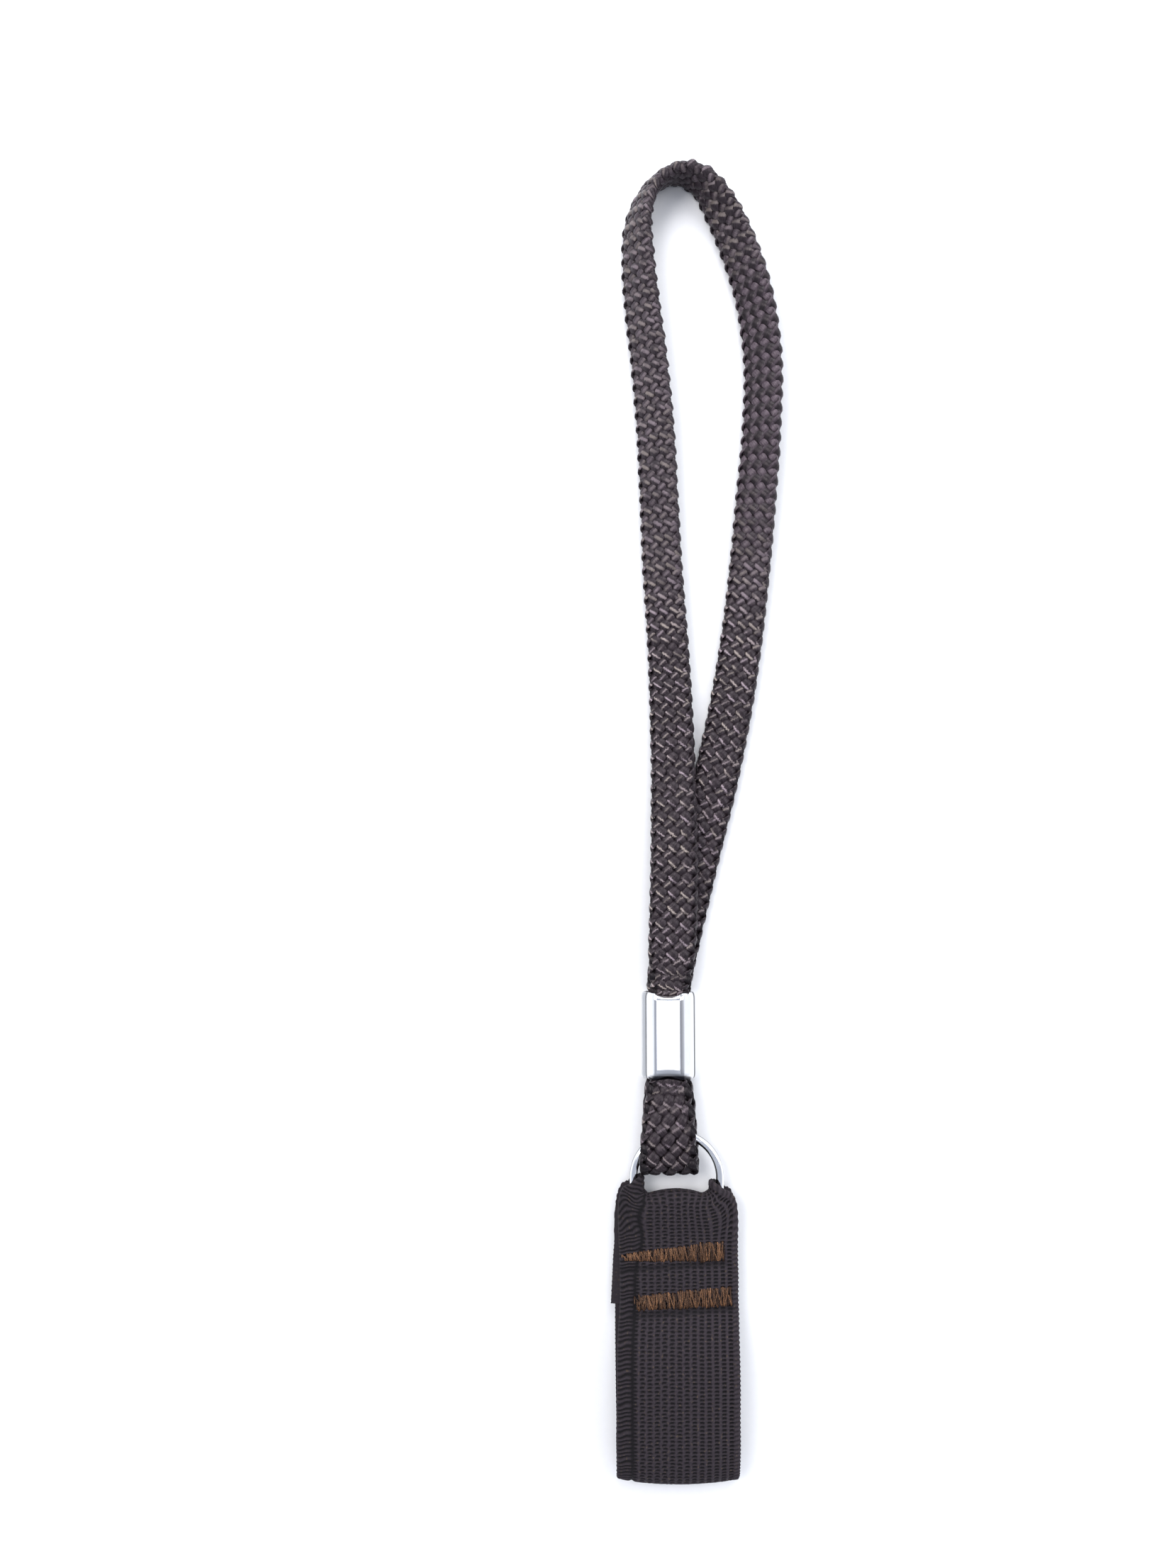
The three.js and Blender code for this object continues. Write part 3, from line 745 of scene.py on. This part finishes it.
def ring_loop_line():
    """The cord round the D-ring, as rows like those of its tables, at even steps."""
    fold = []
    for step in range(FOLD_STEPS + 1):
        share = step / FOLD_STEPS
        turn = share * math.pi
        x = FOLD_X[0] + (FOLD_X[1] - FOLD_X[0]) * share
        y = FOLD_Y - FOLD_RADIUS * math.sin(turn)
        z = (FOLD_LOWER_Z + FOLD_UPPER_Z) / 2 - FOLD_RADIUS * math.cos(turn)
        fold.append((x, y, z, *FOLDED))
    line = smooth_line([*RING_LOOP_START, *fold, *RING_LOOP_END], LINE_PIECES)
    return even_steps(line, CORD_STEP)[:-1]


def cord_stations():
    """Places along the cord at even steps: its middle, the directions of its side and its face, half its
    width and thickness, how it is pinched, and what its yarns and their looks need there."""
    ring_loop = ring_loop_line()
    count = len(ring_loop)
    wrist = even_steps(smooth_line(WRIST_LOOP, LINE_PIECES), CORD_STEP)
    wrist_lean = np.radians(wrist[:, 3])
    wrist_middle = wrist[:, :3].copy()
    wrist_middle[:, 2] += reach_below(wrist_lean, wrist[:, 4], wrist[:, 5])

    middle = np.vstack([ring_loop[:, :3], wrist_middle])
    half_width = np.concatenate([ring_loop[:, 3], wrist[:, 4]])
    half_thickness = np.concatenate([ring_loop[:, 4], wrist[:, 5]])
    lean = np.concatenate([np.zeros(count), wrist_lean])[:, None]
    along = unit(np.gradient(middle, axis=0))
    upward = np.array((0.0, 0.0, 1.0))
    side = unit(np.cross(along, upward)) * np.cos(lean) + upward * np.sin(lean)
    side[:count] = (1.0, 0.0, 0.0)
    face = unit(np.cross(side, along))
    side = np.cross(along, face)

    up, down = middle[:, 1], -middle[:, 1]
    in_ring_loop = np.arange(len(middle)) <= count
    ring_loop_top = in_ring_loop & (middle[:, 2] > (LOWER_LAYER_Z + UPPER_LAYER_Z) / 2)
    wrist_top = (np.arange(len(middle)) > count) & (lean[:, 0] < math.pi / 2)
    beyond = np.maximum(np.maximum(up - FERRULE_TOP, FERRULE_BOTTOM + down), 0)
    held = 1 - smoothstep(beyond, 0, HELD_REACH)
    pinch = UPPER_PINCH * (1 - smoothstep(beyond, 0, PINCH_REACH)) * (ring_loop_top | wrist_top)
    tight = smoothstep(down, *TIGHT_FROM) * (1 - smoothstep(down, *TIGHT_TO))
    return {
        "middle": middle + np.array(SHIFT),
        "side": side,
        "face": face,
        "half_width": half_width * (1 - HELD_NARROWER * held),
        "half_thickness": half_thickness,
        "pinch": pinch,
        "free": 1 - held,
        "lead": BRAID_LEAD + (RING_LOOP_LEAD - BRAID_LEAD) * tight,
        "soft": smoothstep(up, *SOFT_FROM),
        "netted": (middle[:, 0] > 0) * smoothstep(up, *NET_FROM) * (1 - smoothstep(up, *NET_TO)),
        "folded": smoothstep(down, *FOLDED_FROM),
        "shining": 1 - RING_LOOP_DULLER * smoothstep(down, *DULLER_FROM),
    }


def even_turns(turns):
    """Angles on the section's outline for shares of the way round it."""
    angle = np.linspace(0, 2 * np.pi, 721)
    circle = np.stack([np.cos(angle), np.sin(angle)], axis=1)
    far = along_line(signed_power(circle, 2 / CORD_SQUARENESS) * CORD_PROPORTIONS)
    return np.interp(np.mod(turns, 1.0), far / far[-1], angle)


def yarn_line(cord, start, hand):
    """The middle of one yarn, which way is out of the braid there, and how far over it lies, from -1 to 1."""
    step = np.linalg.norm(np.diff(cord["middle"], axis=0), axis=1)
    turned = np.concatenate([[0], np.cumsum(step / cord["lead"][1:])])
    turns = hand * turned + start
    angle = even_turns(turns)
    x = signed_power(np.cos(angle), 2 / CORD_SQUARENESS)
    y = signed_power(np.sin(angle), 2 / CORD_SQUARENESS)
    narrowed = 1 - cord["pinch"] * (y + 1) / 2
    half_width, half_thickness = cord["half_width"], cord["half_thickness"]
    out_x = signed_power(x, CORD_SQUARENESS - 1) / half_width
    out_y = signed_power(y, CORD_SQUARENESS - 1) / half_thickness
    outward = unit(cord["side"] * out_x[:, None] + cord["face"] * out_y[:, None])
    over = signed_power(-hand * np.cos(2 * YARNS_EACH_WAY * np.pi * turns), CREST_FLATNESS)
    surface = (
        cord["middle"]
        + cord["side"] * (x * narrowed * half_width)[:, None]
        + cord["face"] * (y * half_thickness)[:, None]
    )
    return surface, outward, over


def uneven(far, step, draw):
    """Random numbers along a line: one is drawn for each step, with blends between them."""
    places = np.arange(0, far[-1] + step, step)
    numbers = draw(int(far[-1] / step) + 2)
    return np.interp(far, places, numbers[: len(places)])


def yarn_rings(cord, hand, far, surface, outward, over):
    """Rings of points round one yarn, and the direction of its line."""
    section = np.array(YARN_SECTION)
    astray = uneven(far, ASTRAY_STEP, random.standard_normal)
    fullness = uneven(far, FULLNESS_STEP, random.standard_normal)
    half_thick = YARN_HALF_THICKNESS * (1 + 0.06 * fullness)
    edge = np.abs(np.sum(outward * cord["side"], axis=1)) ** 3
    bulge = SIDE_BULGE * edge * (2 * over + 0.4) * cord["free"]
    weave = WEAVE_DEPTH * (1 + FOLD_DEEPER * cord["folded"]) * (1 - over)
    depth = weave + hand * OVER_BIAS + half_thick - bulge
    line = surface - outward * depth[:, None]
    along = unit(np.gradient(line, axis=0))
    up = unit(outward - along * np.sum(outward * along, axis=1, keepdims=True))
    across = np.cross(along, up)
    line = line + across * (YARN_ASTRAY * astray)[:, None]
    half_wide = YARN_HALF_WIDTH[hand] * (1 + 0.10 * over + 0.05 * fullness)
    half_wide = half_wide * (1 - 0.10 * hand * cord["netted"])
    rings = (
        line[:, None]
        + across[:, None] * (section[None, :, 0] * half_wide[:, None])[..., None]
        + up[:, None] * (section[None, :, 1] * half_thick[:, None])[..., None]
    )
    rings[..., 2] = np.maximum(rings[..., 2], FLOOR_GAP)
    return rings, along


def yarn_values(cord, hand, far, tones, along, outward, over):
    """What the yarn's material reads from its points: where they are, how high in the weave, how the light
    glances off the yarn for the painted glints, and how those show: a painted pale net or sheen, crisp
    painted strokes, and soft broad patches with a painted darker shade."""
    section = np.array(YARN_SECTION)
    across, up = section[None, :, 0], section[None, :, 1]
    soft, netted = cord["soft"][:, None], cord["netted"][:, None]
    # Painted shade on the fold's side that turns down, away from the light; it also holds back the painted
    # glints there.
    turned_down_shade = (cord["folded"] * (1 - smoothstep(outward[:, 2], 0.30, 0.95)))[:, None]
    crest = (over[:, None] * 0.5 + 0.5) * (0.62 + 0.40 * up) * (1 - 0.85 * turned_down_shade)
    # Painted pale sheen: patches on the crests, and a net on the right side.
    if hand > 0:
        veil = 0.25 * soft * (1 - netted) * smoothstep(crest, 0.60, 0.95)
        veil = veil + 0.62 * netted * smoothstep(crest, 0.25, 0.75)
    else:
        veil = 0.55 * netted * smoothstep(np.abs(across), 0.5, 0.9) * smoothstep(crest, 0.15, 0.4)
        veil = veil + 0.10 * soft * (1 - netted)
    # How strong the painted glint strokes are.
    crisp = cord["shining"][:, None] * (1 - 0.68 * soft) * (1 - 0.95 * netted) * (1 - 0.8 * turned_down_shade)
    glint = (along @ unit(np.array(GLINT))) / GLINT_SPREAD
    values = {
        "along": far[:, None],
        "across": across,
        "tone": tones[:, None],
        "crest": crest,
        "glint": np.clip(glint, -GLINT_LIMIT, GLINT_LIMIT)[:, None],
        "veil": veil,
        "crisp": crisp,
        "soft": soft,
    }
    shape = len(far), len(section)
    return {key: np.broadcast_to(numbers, shape).ravel() for key, numbers in values.items()}


def braid_yarns(name, cord, hand, material):
    """All the yarns laid one way, as one mesh. hand is 1 for those laid to the left and -1 to the right."""
    points, faces, values = [], [], []
    count, sides = len(cord["middle"]), len(YARN_SECTION)
    far = np.arange(count) * CORD_STEP
    for yarn in range(YARNS_EACH_WAY):
        surface, outward, over = yarn_line(cord, yarn / YARNS_EACH_WAY, hand)
        rings, along = yarn_rings(cord, hand, far, surface, outward, over)
        points.append(rings.reshape(-1, 3))
        faces += grid_faces(count, sides, first=yarn * count * sides)
        tones = uneven(far, TONE_STEP, random.random)
        values.append(yarn_values(cord, hand, far, tones, along, outward, over))
    values = {key: np.concatenate([each[key] for each in values]) for key in values[0]}
    return mesh_piece(name, np.vstack(points), faces, material, **values)


# ---- Ferrule ----
def ferrule_outline():
    """The outline with its corners rounded, at many places, and the painted dark reflection at each place."""
    corners = np.array(FERRULE_OUTLINE)
    points, dark_reflection = [], []
    for i, (across, up, rounding, grime) in enumerate(corners):
        corner = np.array((across, up))
        back = corners[i - 1, :2] - corner
        ahead = corners[(i + 1) % len(corners), :2] - corner
        lengths = np.linalg.norm(back), np.linalg.norm(ahead)
        cut = min(rounding, lengths[0] / CORNER_SHARE, lengths[1] / CORNER_SHARE)
        start = corner + unit(back) * cut
        end = corner + unit(ahead) * cut
        if lengths[0] > FLAT_FACE:
            points.append(start + unit(back) * FLAT_GUARD)
            dark_reflection.append(grime)
        for t in CORNER_STEPS if rounding else CORNER_STEPS[:1]:
            points.append(start * (1 - t) ** 2 + corner * 2 * t * (1 - t) + end * t**2)
            dark_reflection.append(grime)
        if lengths[1] > FLAT_FACE:
            points.append(end + unit(ahead) * FLAT_GUARD)
            dark_reflection.append(grime)
    return np.array(points), np.array(dark_reflection)


def make_ferrule(material):
    outline, dark_reflection = ferrule_outline()
    centre_x = (ferrule_low.x + ferrule_high.x) / 2
    ahead = np.roll(outline, -1, axis=0) - np.roll(outline, 1, axis=0)
    inward = unit(np.stack([-ahead[:, 1], ahead[:, 0]], axis=1))
    front = smoothstep(outline[:, 1], FERRULE_FRONT_Z - FRONT_RISE, FERRULE_FRONT_Z)
    off = (outline[:, 0] - PLATE_MIDDLE) / PLATE_HALF_WIDTH
    bowed = front * np.clip(1 - off**2, 0, 1)
    lens = np.sqrt(np.clip(1 - (outline[:, 0] / LENS_REACH) ** 2, 0, 1))
    lens = lens * smoothstep(outline[:, 1], LENS_LOW, LENS_LOW + LENS_RISE)
    low, high = ferrule_low.y, ferrule_high.y
    rings = [(depth, low + back) for depth, back in FERRULE_LIP[::-1]]
    rings += [(0.0, low + share * (high - low)) for share in np.linspace(0.10, 0.90, 25)[1:-1]]
    rings += [(depth, high - back) for depth, back in FERRULE_LIP]
    rings += [(FERRULE_WALL, low + share * (high - low)) for share in np.linspace(0.9, 0.1, 5)]
    points, grime = [], []
    for depth, y in rings:
        section = outline + inward * depth
        at_top = smoothstep(y, high - TOP_REACH, high)
        at_bottom = 1 - smoothstep(y, low, low + BOTTOM_REACH)
        place_y = y - TOP_SCOOP * bowed * at_top
        place_z = section[:, 1] - bowed * (TOP_DIP * at_top + BOTTOM_DIP * at_bottom)
        points.append(np.stack([centre_x + section[:, 0], place_y, place_z], axis=1))
        # A painted dark reflection of the cord along the plate's bottom edge.
        reach = LEAST_DARK_LENS + BOTTOM_DARK_LENS * lens
        dark_lens = 1 - smoothstep(y, low + 0.45 * reach, low + 1.1 * reach)
        grime.append(np.maximum(dark_reflection, dark_lens * np.minimum(lens * 4, 1)))
    faces = grid_faces(len(points), len(outline), closed_rows=True)
    return mesh_piece("ferrule_shell", np.vstack(points), faces, material, grime=np.concatenate(grime))


# ---- D-ring ----
def on_ring(flat):
    """Places in the ring's own plane moved to where the ring lies."""
    flat = np.asarray(flat, float)
    cosine, sine = math.cos(RING_TILT), math.sin(RING_TILT)
    y = flat[..., 1] * cosine - flat[..., 2] * sine
    z = flat[..., 1] * sine + flat[..., 2] * cosine
    return np.stack([flat[..., 0] + RING_X, y + BAR_Y, z + BAR_Z], axis=-1)


def bend_points(x, y, radius, start, end, count):
    """Places on an arc round x, y, without its last."""
    turn = np.linspace(start, end, count)[:-1]
    return np.stack([x + radius * np.cos(turn), y + radius * np.sin(turn)], axis=1)


def ring_line():
    """The wire's line in the ring's own plane: its bar, and round to the left by the arc."""
    half = RING_RADIUS - RING_CORNER
    right_leg = [(RING_RADIUS, y) for y in np.linspace(RING_CORNER, RING_ARC_CENTRE, 4)[:-1]]
    left_leg = [(-RING_RADIUS, y) for y in np.linspace(RING_ARC_CENTRE, RING_CORNER, 4)[:-1]]
    return np.vstack(
        [
            [(x, 0.0) for x in np.linspace(-half, half, 14)[:-1]],
            bend_points(half, RING_CORNER, RING_CORNER, -math.pi / 2, 0, 14),
            right_leg,
            bend_points(0, RING_ARC_CENTRE, RING_RADIUS, 0, math.pi, 60),
            left_leg,
            bend_points(-half, RING_CORNER, RING_CORNER, math.pi, math.pi * 3 / 2, 14),
        ]
    )


def make_ring(material):
    line = ring_line()
    ahead = unit(np.roll(line, -1, axis=0) - np.roll(line, 1, axis=0))
    outward = np.stack([ahead[:, 1], -ahead[:, 0]], axis=1)
    turn = np.arange(WIRE_SIDES) / WIRE_SIDES * 2 * np.pi
    flat = line[:, None] + outward[:, None] * (np.sin(turn) * WIRE_RADIUS)[None, :, None]
    up = np.broadcast_to(np.cos(turn) * WIRE_RADIUS, flat.shape[:2])
    rings = on_ring(np.concatenate([flat, up[..., None]], axis=2))
    faces = grid_faces(len(line), WIRE_SIDES, closed_rows=True)
    # Painted dark reflections: a thin band on the wire's outer side and a wider one on its inner side.
    outside = smoothstep(np.sin(turn), 0.86, 0.97)
    inside = smoothstep(-np.sin(turn), 0.42, 0.72)
    grime = np.broadcast_to(0.75 * outside + 0.88 * inside, flat.shape[:2])
    return mesh_piece("d_ring_wire", rings.reshape(-1, 3), faces, material, grime=grime)


# ---- Elastic ----
def on_lower_wire(s):
    """Places on the ring's bar and legs, s along the wire from the bar's middle, and which way is inside."""
    straight = RING_RADIUS - RING_CORNER
    far = np.abs(s)
    turn = np.clip((far - straight) / RING_CORNER, 0, math.pi / 2)
    leg = np.maximum(far - straight - RING_CORNER * math.pi / 2, 0)
    hand = np.where(s < 0, -1.0, 1.0)
    x = hand * (np.minimum(far, straight) + RING_CORNER * np.sin(turn))
    y = RING_CORNER * (1 - np.cos(turn)) + leg
    inward = np.stack([-hand * np.sin(turn), np.cos(turn), np.zeros_like(turn)], axis=-1)
    return np.stack([x, y, np.zeros_like(x)], axis=-1), inward


def flat_row(row, shares):
    """A row across the strip where it lies flat. shares are its places, from -1 at the left to 1."""
    y, z, half_width, shift = row
    near_fold = 1 - smoothstep(y, BAND_BOTTOM, BAND_BOTTOM + ARCH_REACH)
    arch = BOTTOM_ARCH * near_fold * shares**2
    x = BAND_X + shift + shares * half_width
    return np.stack([x, y + arch + SHIFT.y, np.full_like(x, z)], axis=1)


def wrap_row(turn, shares):
    """A row on the wire: turn is 0 in front of it, and pi behind it."""
    reach = np.where(shares > 0, RIGHT_REACH, WRAP_REACH) - WRAP_CLOSER * (1 - math.sin(turn))
    place, inward = on_lower_wire(shares * reach)
    tilted = turn - EDGE_TILT * smoothstep(np.abs(shares), 0.80, 1.0) * math.cos(turn)
    arched = ARCHED * np.maximum(1 - (shares / ARCHED_SHARE) ** 2, ARCHED_LEAST)
    radius = WRAP_RADIUS + arched * (1 - smoothstep(np.abs(shares), 0.42, 0.60)) * math.sin(turn)
    flat = place + inward * (radius * np.sin(tilted))[:, None]
    flat[:, 2] = radius * np.cos(tilted)
    return on_ring(flat)


def fan_rows(start, end, towards, shares):
    """Rows between a flat row and a row on the wire, where the strip fans out."""
    _, inward = on_lower_wire(shares * np.where(shares > 0, RIGHT_REACH, WRAP_REACH))
    level = np.array((0.0, FAN_PULL, 0.0))
    pull = inward * FAN_PULL
    leaving = level if towards > 0 else -pull
    arriving = pull if towards > 0 else -level
    return [hermite(start, end, leaving, arriving, step / FAN_STEPS) for step in range(1, FAN_STEPS)]


def band_middle(shares):
    """The strip's middle surface, as rows at even steps along it."""
    front = [flat_row(row, shares) for row in BAND_PROFILE]
    back = [flat_row(row, shares) for row in MIDDLE_LAYER]
    wrap = [wrap_row(k / WRAP_STEPS * math.pi, shares) for k in range(WRAP_STEPS + 1)]
    rows = [
        *front,
        *fan_rows(front[-1], wrap[0], 1, shares),
        *wrap,
        *fan_rows(wrap[-1], back[0], -1, shares),
        *back,
    ]
    rows = np.array(rows)
    lines = [smooth_line(rows[:, j], BAND_PIECES) for j in range(len(shares))]
    middle = len(shares) // 2
    far = along_line(lines[middle])
    count = round(far[-1] / BAND_STEP) + 1
    places = np.linspace(0, far[-1], count)
    index = np.interp(places, far, np.arange(len(far)))
    low = np.minimum(index.astype(int), len(far) - 2)
    part = (index - low)[:, None]
    surface = np.stack([line[low] * (1 - part) + line[low + 1] * part for line in lines], axis=1)
    return surface, places


def weave_rise(along, across, y, front):
    """The height of the strip's threads, from 0 in a hollow to 1 on top: a ladder weave between two ribbed
    selvedges. front is 1 on the strip's upper face. The low rise in the hollows and the groove also sets the
    painted shade there."""
    selvedge = LEFT_SELVEDGE + LEFT_SELVEDGE_WIDER * smoothstep(y, *LEFT_SELVEDGE_WIDENS) * front
    from_left = across + HALF_STRIP
    from_right = HALF_STRIP - across
    groove = np.exp(-(((from_left - selvedge - GROOVE_OFF) / GROOVE_HALF) ** 2))
    left = 1 - smoothstep(from_left, selvedge, selvedge + 0.0003)
    right = 1 - smoothstep(from_right, RIGHT_SELVEDGE - 0.0002, RIGHT_SELVEDGE + 0.0002)
    rise = (
        ladder_rise(along, from_left) * (1 - left) * (1 - right)
        + left_rib_rise(along, from_left, selvedge, y) * left
        + (0.45 + 0.55 * wave(along / RIB_ROW + from_right * 300, 0.8)) * right
    )
    return np.clip(rise * (1 - 0.85 * groove), 0, 1)


def ladder_rise(along, from_left):
    """Ridges along the strip with rungs between them, both a little uneven."""
    columns = (from_left - FIRST_COLUMN) / WEAVE_COLUMN
    number = np.floor(columns + 0.5)
    rows = along / WEAVE_ROW + 0.12 * np.sin(number * 1.7) + 0.10 * np.sin(along * 900 + number * 2.3)
    off = np.abs(columns - number + 0.045 * np.sin(np.pi * rows + number))
    bowed = 0.16 * np.clip(1 - (off / 0.35) ** 2, 0, 1)
    return np.maximum(0.90 * smoothstep(off, 0.22, 0.38), 0.95 * wave(rows - bowed, 1.6))


def left_rib_rise(along, from_left, selvedge, y):
    """The slanting ribs of the left selvedge, which slant more above the tacks."""
    steep = 0.15 + 0.60 * smoothstep(y, *RIBS_SLANT_MORE)
    slant = along + steep * np.clip(selvedge - from_left, 0, 1)
    waver = 0.16 * np.sin(along * 1130) + 0.12 * np.sin(along * 2310 + 1) + 0.10 * np.sin(from_left * 2600)
    return 0.05 + 0.80 * wave(slant / RIB_ROW + waver, 0.9)


def across_tacks(x, y, below, spread):
    """Where the elastic lies by a bar tack, from 0 to 1: below is the distance under the tack's middle."""
    found = np.zeros_like(y)
    for left_x, left_y, right_x, right_y, _, _ in TACKS:
        share = np.clip((x - left_x) / (right_x - left_x), 0, 1)
        centre = left_y + (right_y - left_y) * share - below
        inside = smoothstep(x, left_x - 0.002, left_x) * (1 - smoothstep(x, right_x, right_x + 0.002))
        found = np.maximum(found, inside * np.exp(-(((y - centre) / spread) ** 4)))
    return found


def make_elastic(material):
    """The strip, and its length."""
    shares = np.linspace(-1, 1, BAND_ACROSS + 1)
    surface, places = band_middle(shares)
    ahead = unit(np.gradient(surface, axis=0))
    across = unit(np.gradient(surface, axis=1))
    outer = unit(np.cross(across, ahead))
    along = np.broadcast_to(places[:, None], surface.shape[:2])
    sideways = np.broadcast_to(shares[None, :] * HALF_STRIP, surface.shape[:2])
    x, y = surface[..., 0], surface[..., 1]
    facing = smoothstep(outer[..., 2], 0.2, 0.6)
    dent = facing * across_tacks(x, y, 0.0, DENT_HALF)
    crease = facing * across_tacks(x, y, TACK_CREASE, CREASE_HALF)
    # The crease below each tack also lowers the rise, which paints shade there.
    rise = weave_rise(along, sideways, y, facing) * (1 - 0.45 * crease)

    edge = np.clip((1 - np.abs(shares)) * HALF_STRIP / EDGE_ROUNDING, 0, 1)
    rounding = 0.25 + 0.75 * np.sqrt(1 - (1 - edge) ** 2)
    hollow = np.where(np.abs(sideways) > SELVEDGES_FROM, EDGE_HOLLOW, WEAVE_HOLLOW)
    lifted = (BAND_HALF_THICKNESS - hollow * (1 - rise)) * rounding
    lifted = lifted - DENT_DEPTH * dent - CREASE_DEPTH * crease
    scallop = EDGE_SCALLOP * (rise - 0.6) * smoothstep(np.abs(shares), 0.93, 1.0)
    outside = surface + outer * lifted[..., None] + across * (scallop * np.sign(shares))[..., None]
    pick = np.linspace(BAND_ACROSS, 0, BAND_INSIDE).round().astype(int)
    under = BAND_HALF_THICKNESS * rounding[pick]
    inside = surface[:, pick] - outer[:, pick] * under[None, :, None]
    points = np.concatenate([outside, inside], axis=1)
    faces = grid_faces(points.shape[0], points.shape[1])
    values = {
        "rise": np.concatenate([rise, np.full((len(places), BAND_INSIDE), INSIDE_RISE)], axis=1),
        "along": np.concatenate([along, along[:, pick]], axis=1),
        "across": np.concatenate([sideways, sideways[:, pick]], axis=1),
    }
    piece = mesh_piece("elastic_strip", points.reshape(-1, 3), faces, material, **values)
    return piece, float(places[-1])


# ---- Bar tacks ----
def front_height(y):
    """The top of the elastic's front layer."""
    front = [row for row in BAND_PROFILE if row[1] > FRONT_LAYER_FROM]
    ys, zs = np.array(front)[:, :2].T
    order = np.argsort(ys)
    return np.interp(y, ys[order], zs[order]) + BAND_HALF_THICKNESS


def by_stroke(phase, numbers):
    """Numbers that each hold at one end of a stroke of the zigzag, with blends between them."""
    return np.interp(phase * 2, np.arange(len(numbers)), numbers)


def tack_line(tack, start, slant, underside):
    """The line of one pass of zigzag thread."""
    left_x, left_y, right_x, right_y, left_high, right_high = tack
    turns = int((right_x - left_x) / TACK_PITCH)
    phase = np.arange(turns * TACK_STEPS + 1) / TACK_STEPS + start
    share = np.clip(phase / turns, 0, 1)
    swing = np.arcsin(STROKE_POINT * np.sin(2 * np.pi * phase)) / math.asin(STROKE_POINT)
    strokes = turns * 2 + SPARE_STROKES
    longer = by_stroke(phase, 1 + random.normal(0, STROKE_UNEVEN, strokes))
    astray = by_stroke(phase, random.normal(0, STROKE_ASTRAY, strokes))
    high = (left_high + (right_high - left_high) * share**TACK_TAPER) / 2
    x = left_x + (right_x - left_x) * share + slant * swing + astray
    y = left_y + (right_y - left_y) * share + high * swing * longer
    if underside:
        z = np.full_like(x, TACK_THREAD + FLOOR_GAP)
    else:
        z = front_height(y) - TACK_SINK + TACK_CROWN * np.sqrt(np.clip(1 - swing**2, 0, 1))
    return np.stack([x + SHIFT.x, y + SHIFT.y, z], axis=1), phase


def make_tacks(material):
    points, faces, values = [], [], {"along": [], "across": [], "tone": []}
    across = np.abs(np.arange(THREAD_SIDES) / THREAD_SIDES * 2 - 1)
    first = 0
    for tack in TACKS:
        for start, slant, underside in TACK_PASSES:
            line, phase = tack_line(tack, start, slant, underside)
            tones = by_stroke(phase, random.random(int(phase[-1] * 2) + 3))
            shape = len(line), THREAD_SIDES
            points.append(tube_rings(line, TACK_THREAD, THREAD_SIDES).reshape(-1, 3))
            faces += grid_faces(*shape, first=first)
            first += len(line) * THREAD_SIDES
            values["along"].append(np.broadcast_to(along_line(line)[:, None], shape).ravel())
            values["across"].append(np.broadcast_to(across[None, :], shape).ravel())
            values["tone"].append(np.broadcast_to(tones[:, None], shape).ravel())
    values = {key: np.concatenate(found) for key, found in values.items()}
    return mesh_piece("bar_tacks", np.vstack(points), faces, material, **values)


# ---- Surroundings ----
def make_floor():
    corners = [(x * FLOOR_HALF, y * FLOOR_HALF, 0) for x, y in ((-1, -1), (1, -1), (1, 1), (-1, 1))]
    floor = mesh_piece("floor", corners, [[0, 1, 2, 3]], floor_look())
    floor.location.z = -FLOOR_BELOW


def make_sky():
    """A plain studio all round, paler towards the horizon."""
    world = bpy.data.worlds.new("studio")
    tree = Tree(world)
    direction = tree.node("TexCoord", {}, {}, "Generated")
    height = tree.node("VectorMath", {"operation": "DOT_PRODUCT"}, {0: direction, 1: SKY_UP}, "Value")
    colour = tree.node("ValToRGB", {"stops": SKY_STOPS}, {0: height})
    tree.set_sockets(tree.nodes["Background"], {"Color": colour})
    bpy.context.scene.world = world


def make_light(name, place, aim, size, power, colour):
    lamp = bpy.data.lights.new(name, "AREA")
    lamp.shape = "DISK"
    lamp.size = size
    lamp.energy = power
    lamp.color = colour
    light = bpy.data.objects.new(name, lamp)
    light.location = place
    light.rotation_euler = (Vector(aim) - Vector(place)).to_track_quat("-Z", "Y").to_euler()
    bpy.context.scene.collection.objects.link(light)


def make_surroundings():
    make_floor()
    make_sky()
    for light in LIGHTS:
        make_light(*light)
    bpy.context.scene.view_settings.view_transform = "Standard"


# ---- The strap ----
make_camera()
cord = cord_stations()
laid_left = braid_yarns("braid_laid_left", cord, 1, yarn_look("brown_yarn_laid_left", 0.55))
laid_right = braid_yarns("braid_laid_right", cord, -1, yarn_look("brown_yarn_laid_right", 1.0))
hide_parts("wrist_loop")

chrome = chrome_look("chrome_plate", 0.07, (900.0, 60.0, 900.0))
wire_chrome = chrome_look("chrome_wire", 0.05, (400.0, 400.0, 400.0))
ferrule = make_ferrule(chrome)
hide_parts("ferrule")
ring = make_ring(wire_chrome)
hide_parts("d_ring")

elastic, strip_length = make_elastic(elastic_look())
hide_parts("elastic_band")
tacks = make_tacks(tack_look())

for piece, slot in (
    (laid_left, "braid"),
    (laid_right, "braid"),
    (ferrule, "chrome"),
    (ring, "chrome"),
    (elastic, "elastic"),
    (tacks, "elastic"),
):
    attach(piece, "root")

make_surroundings()
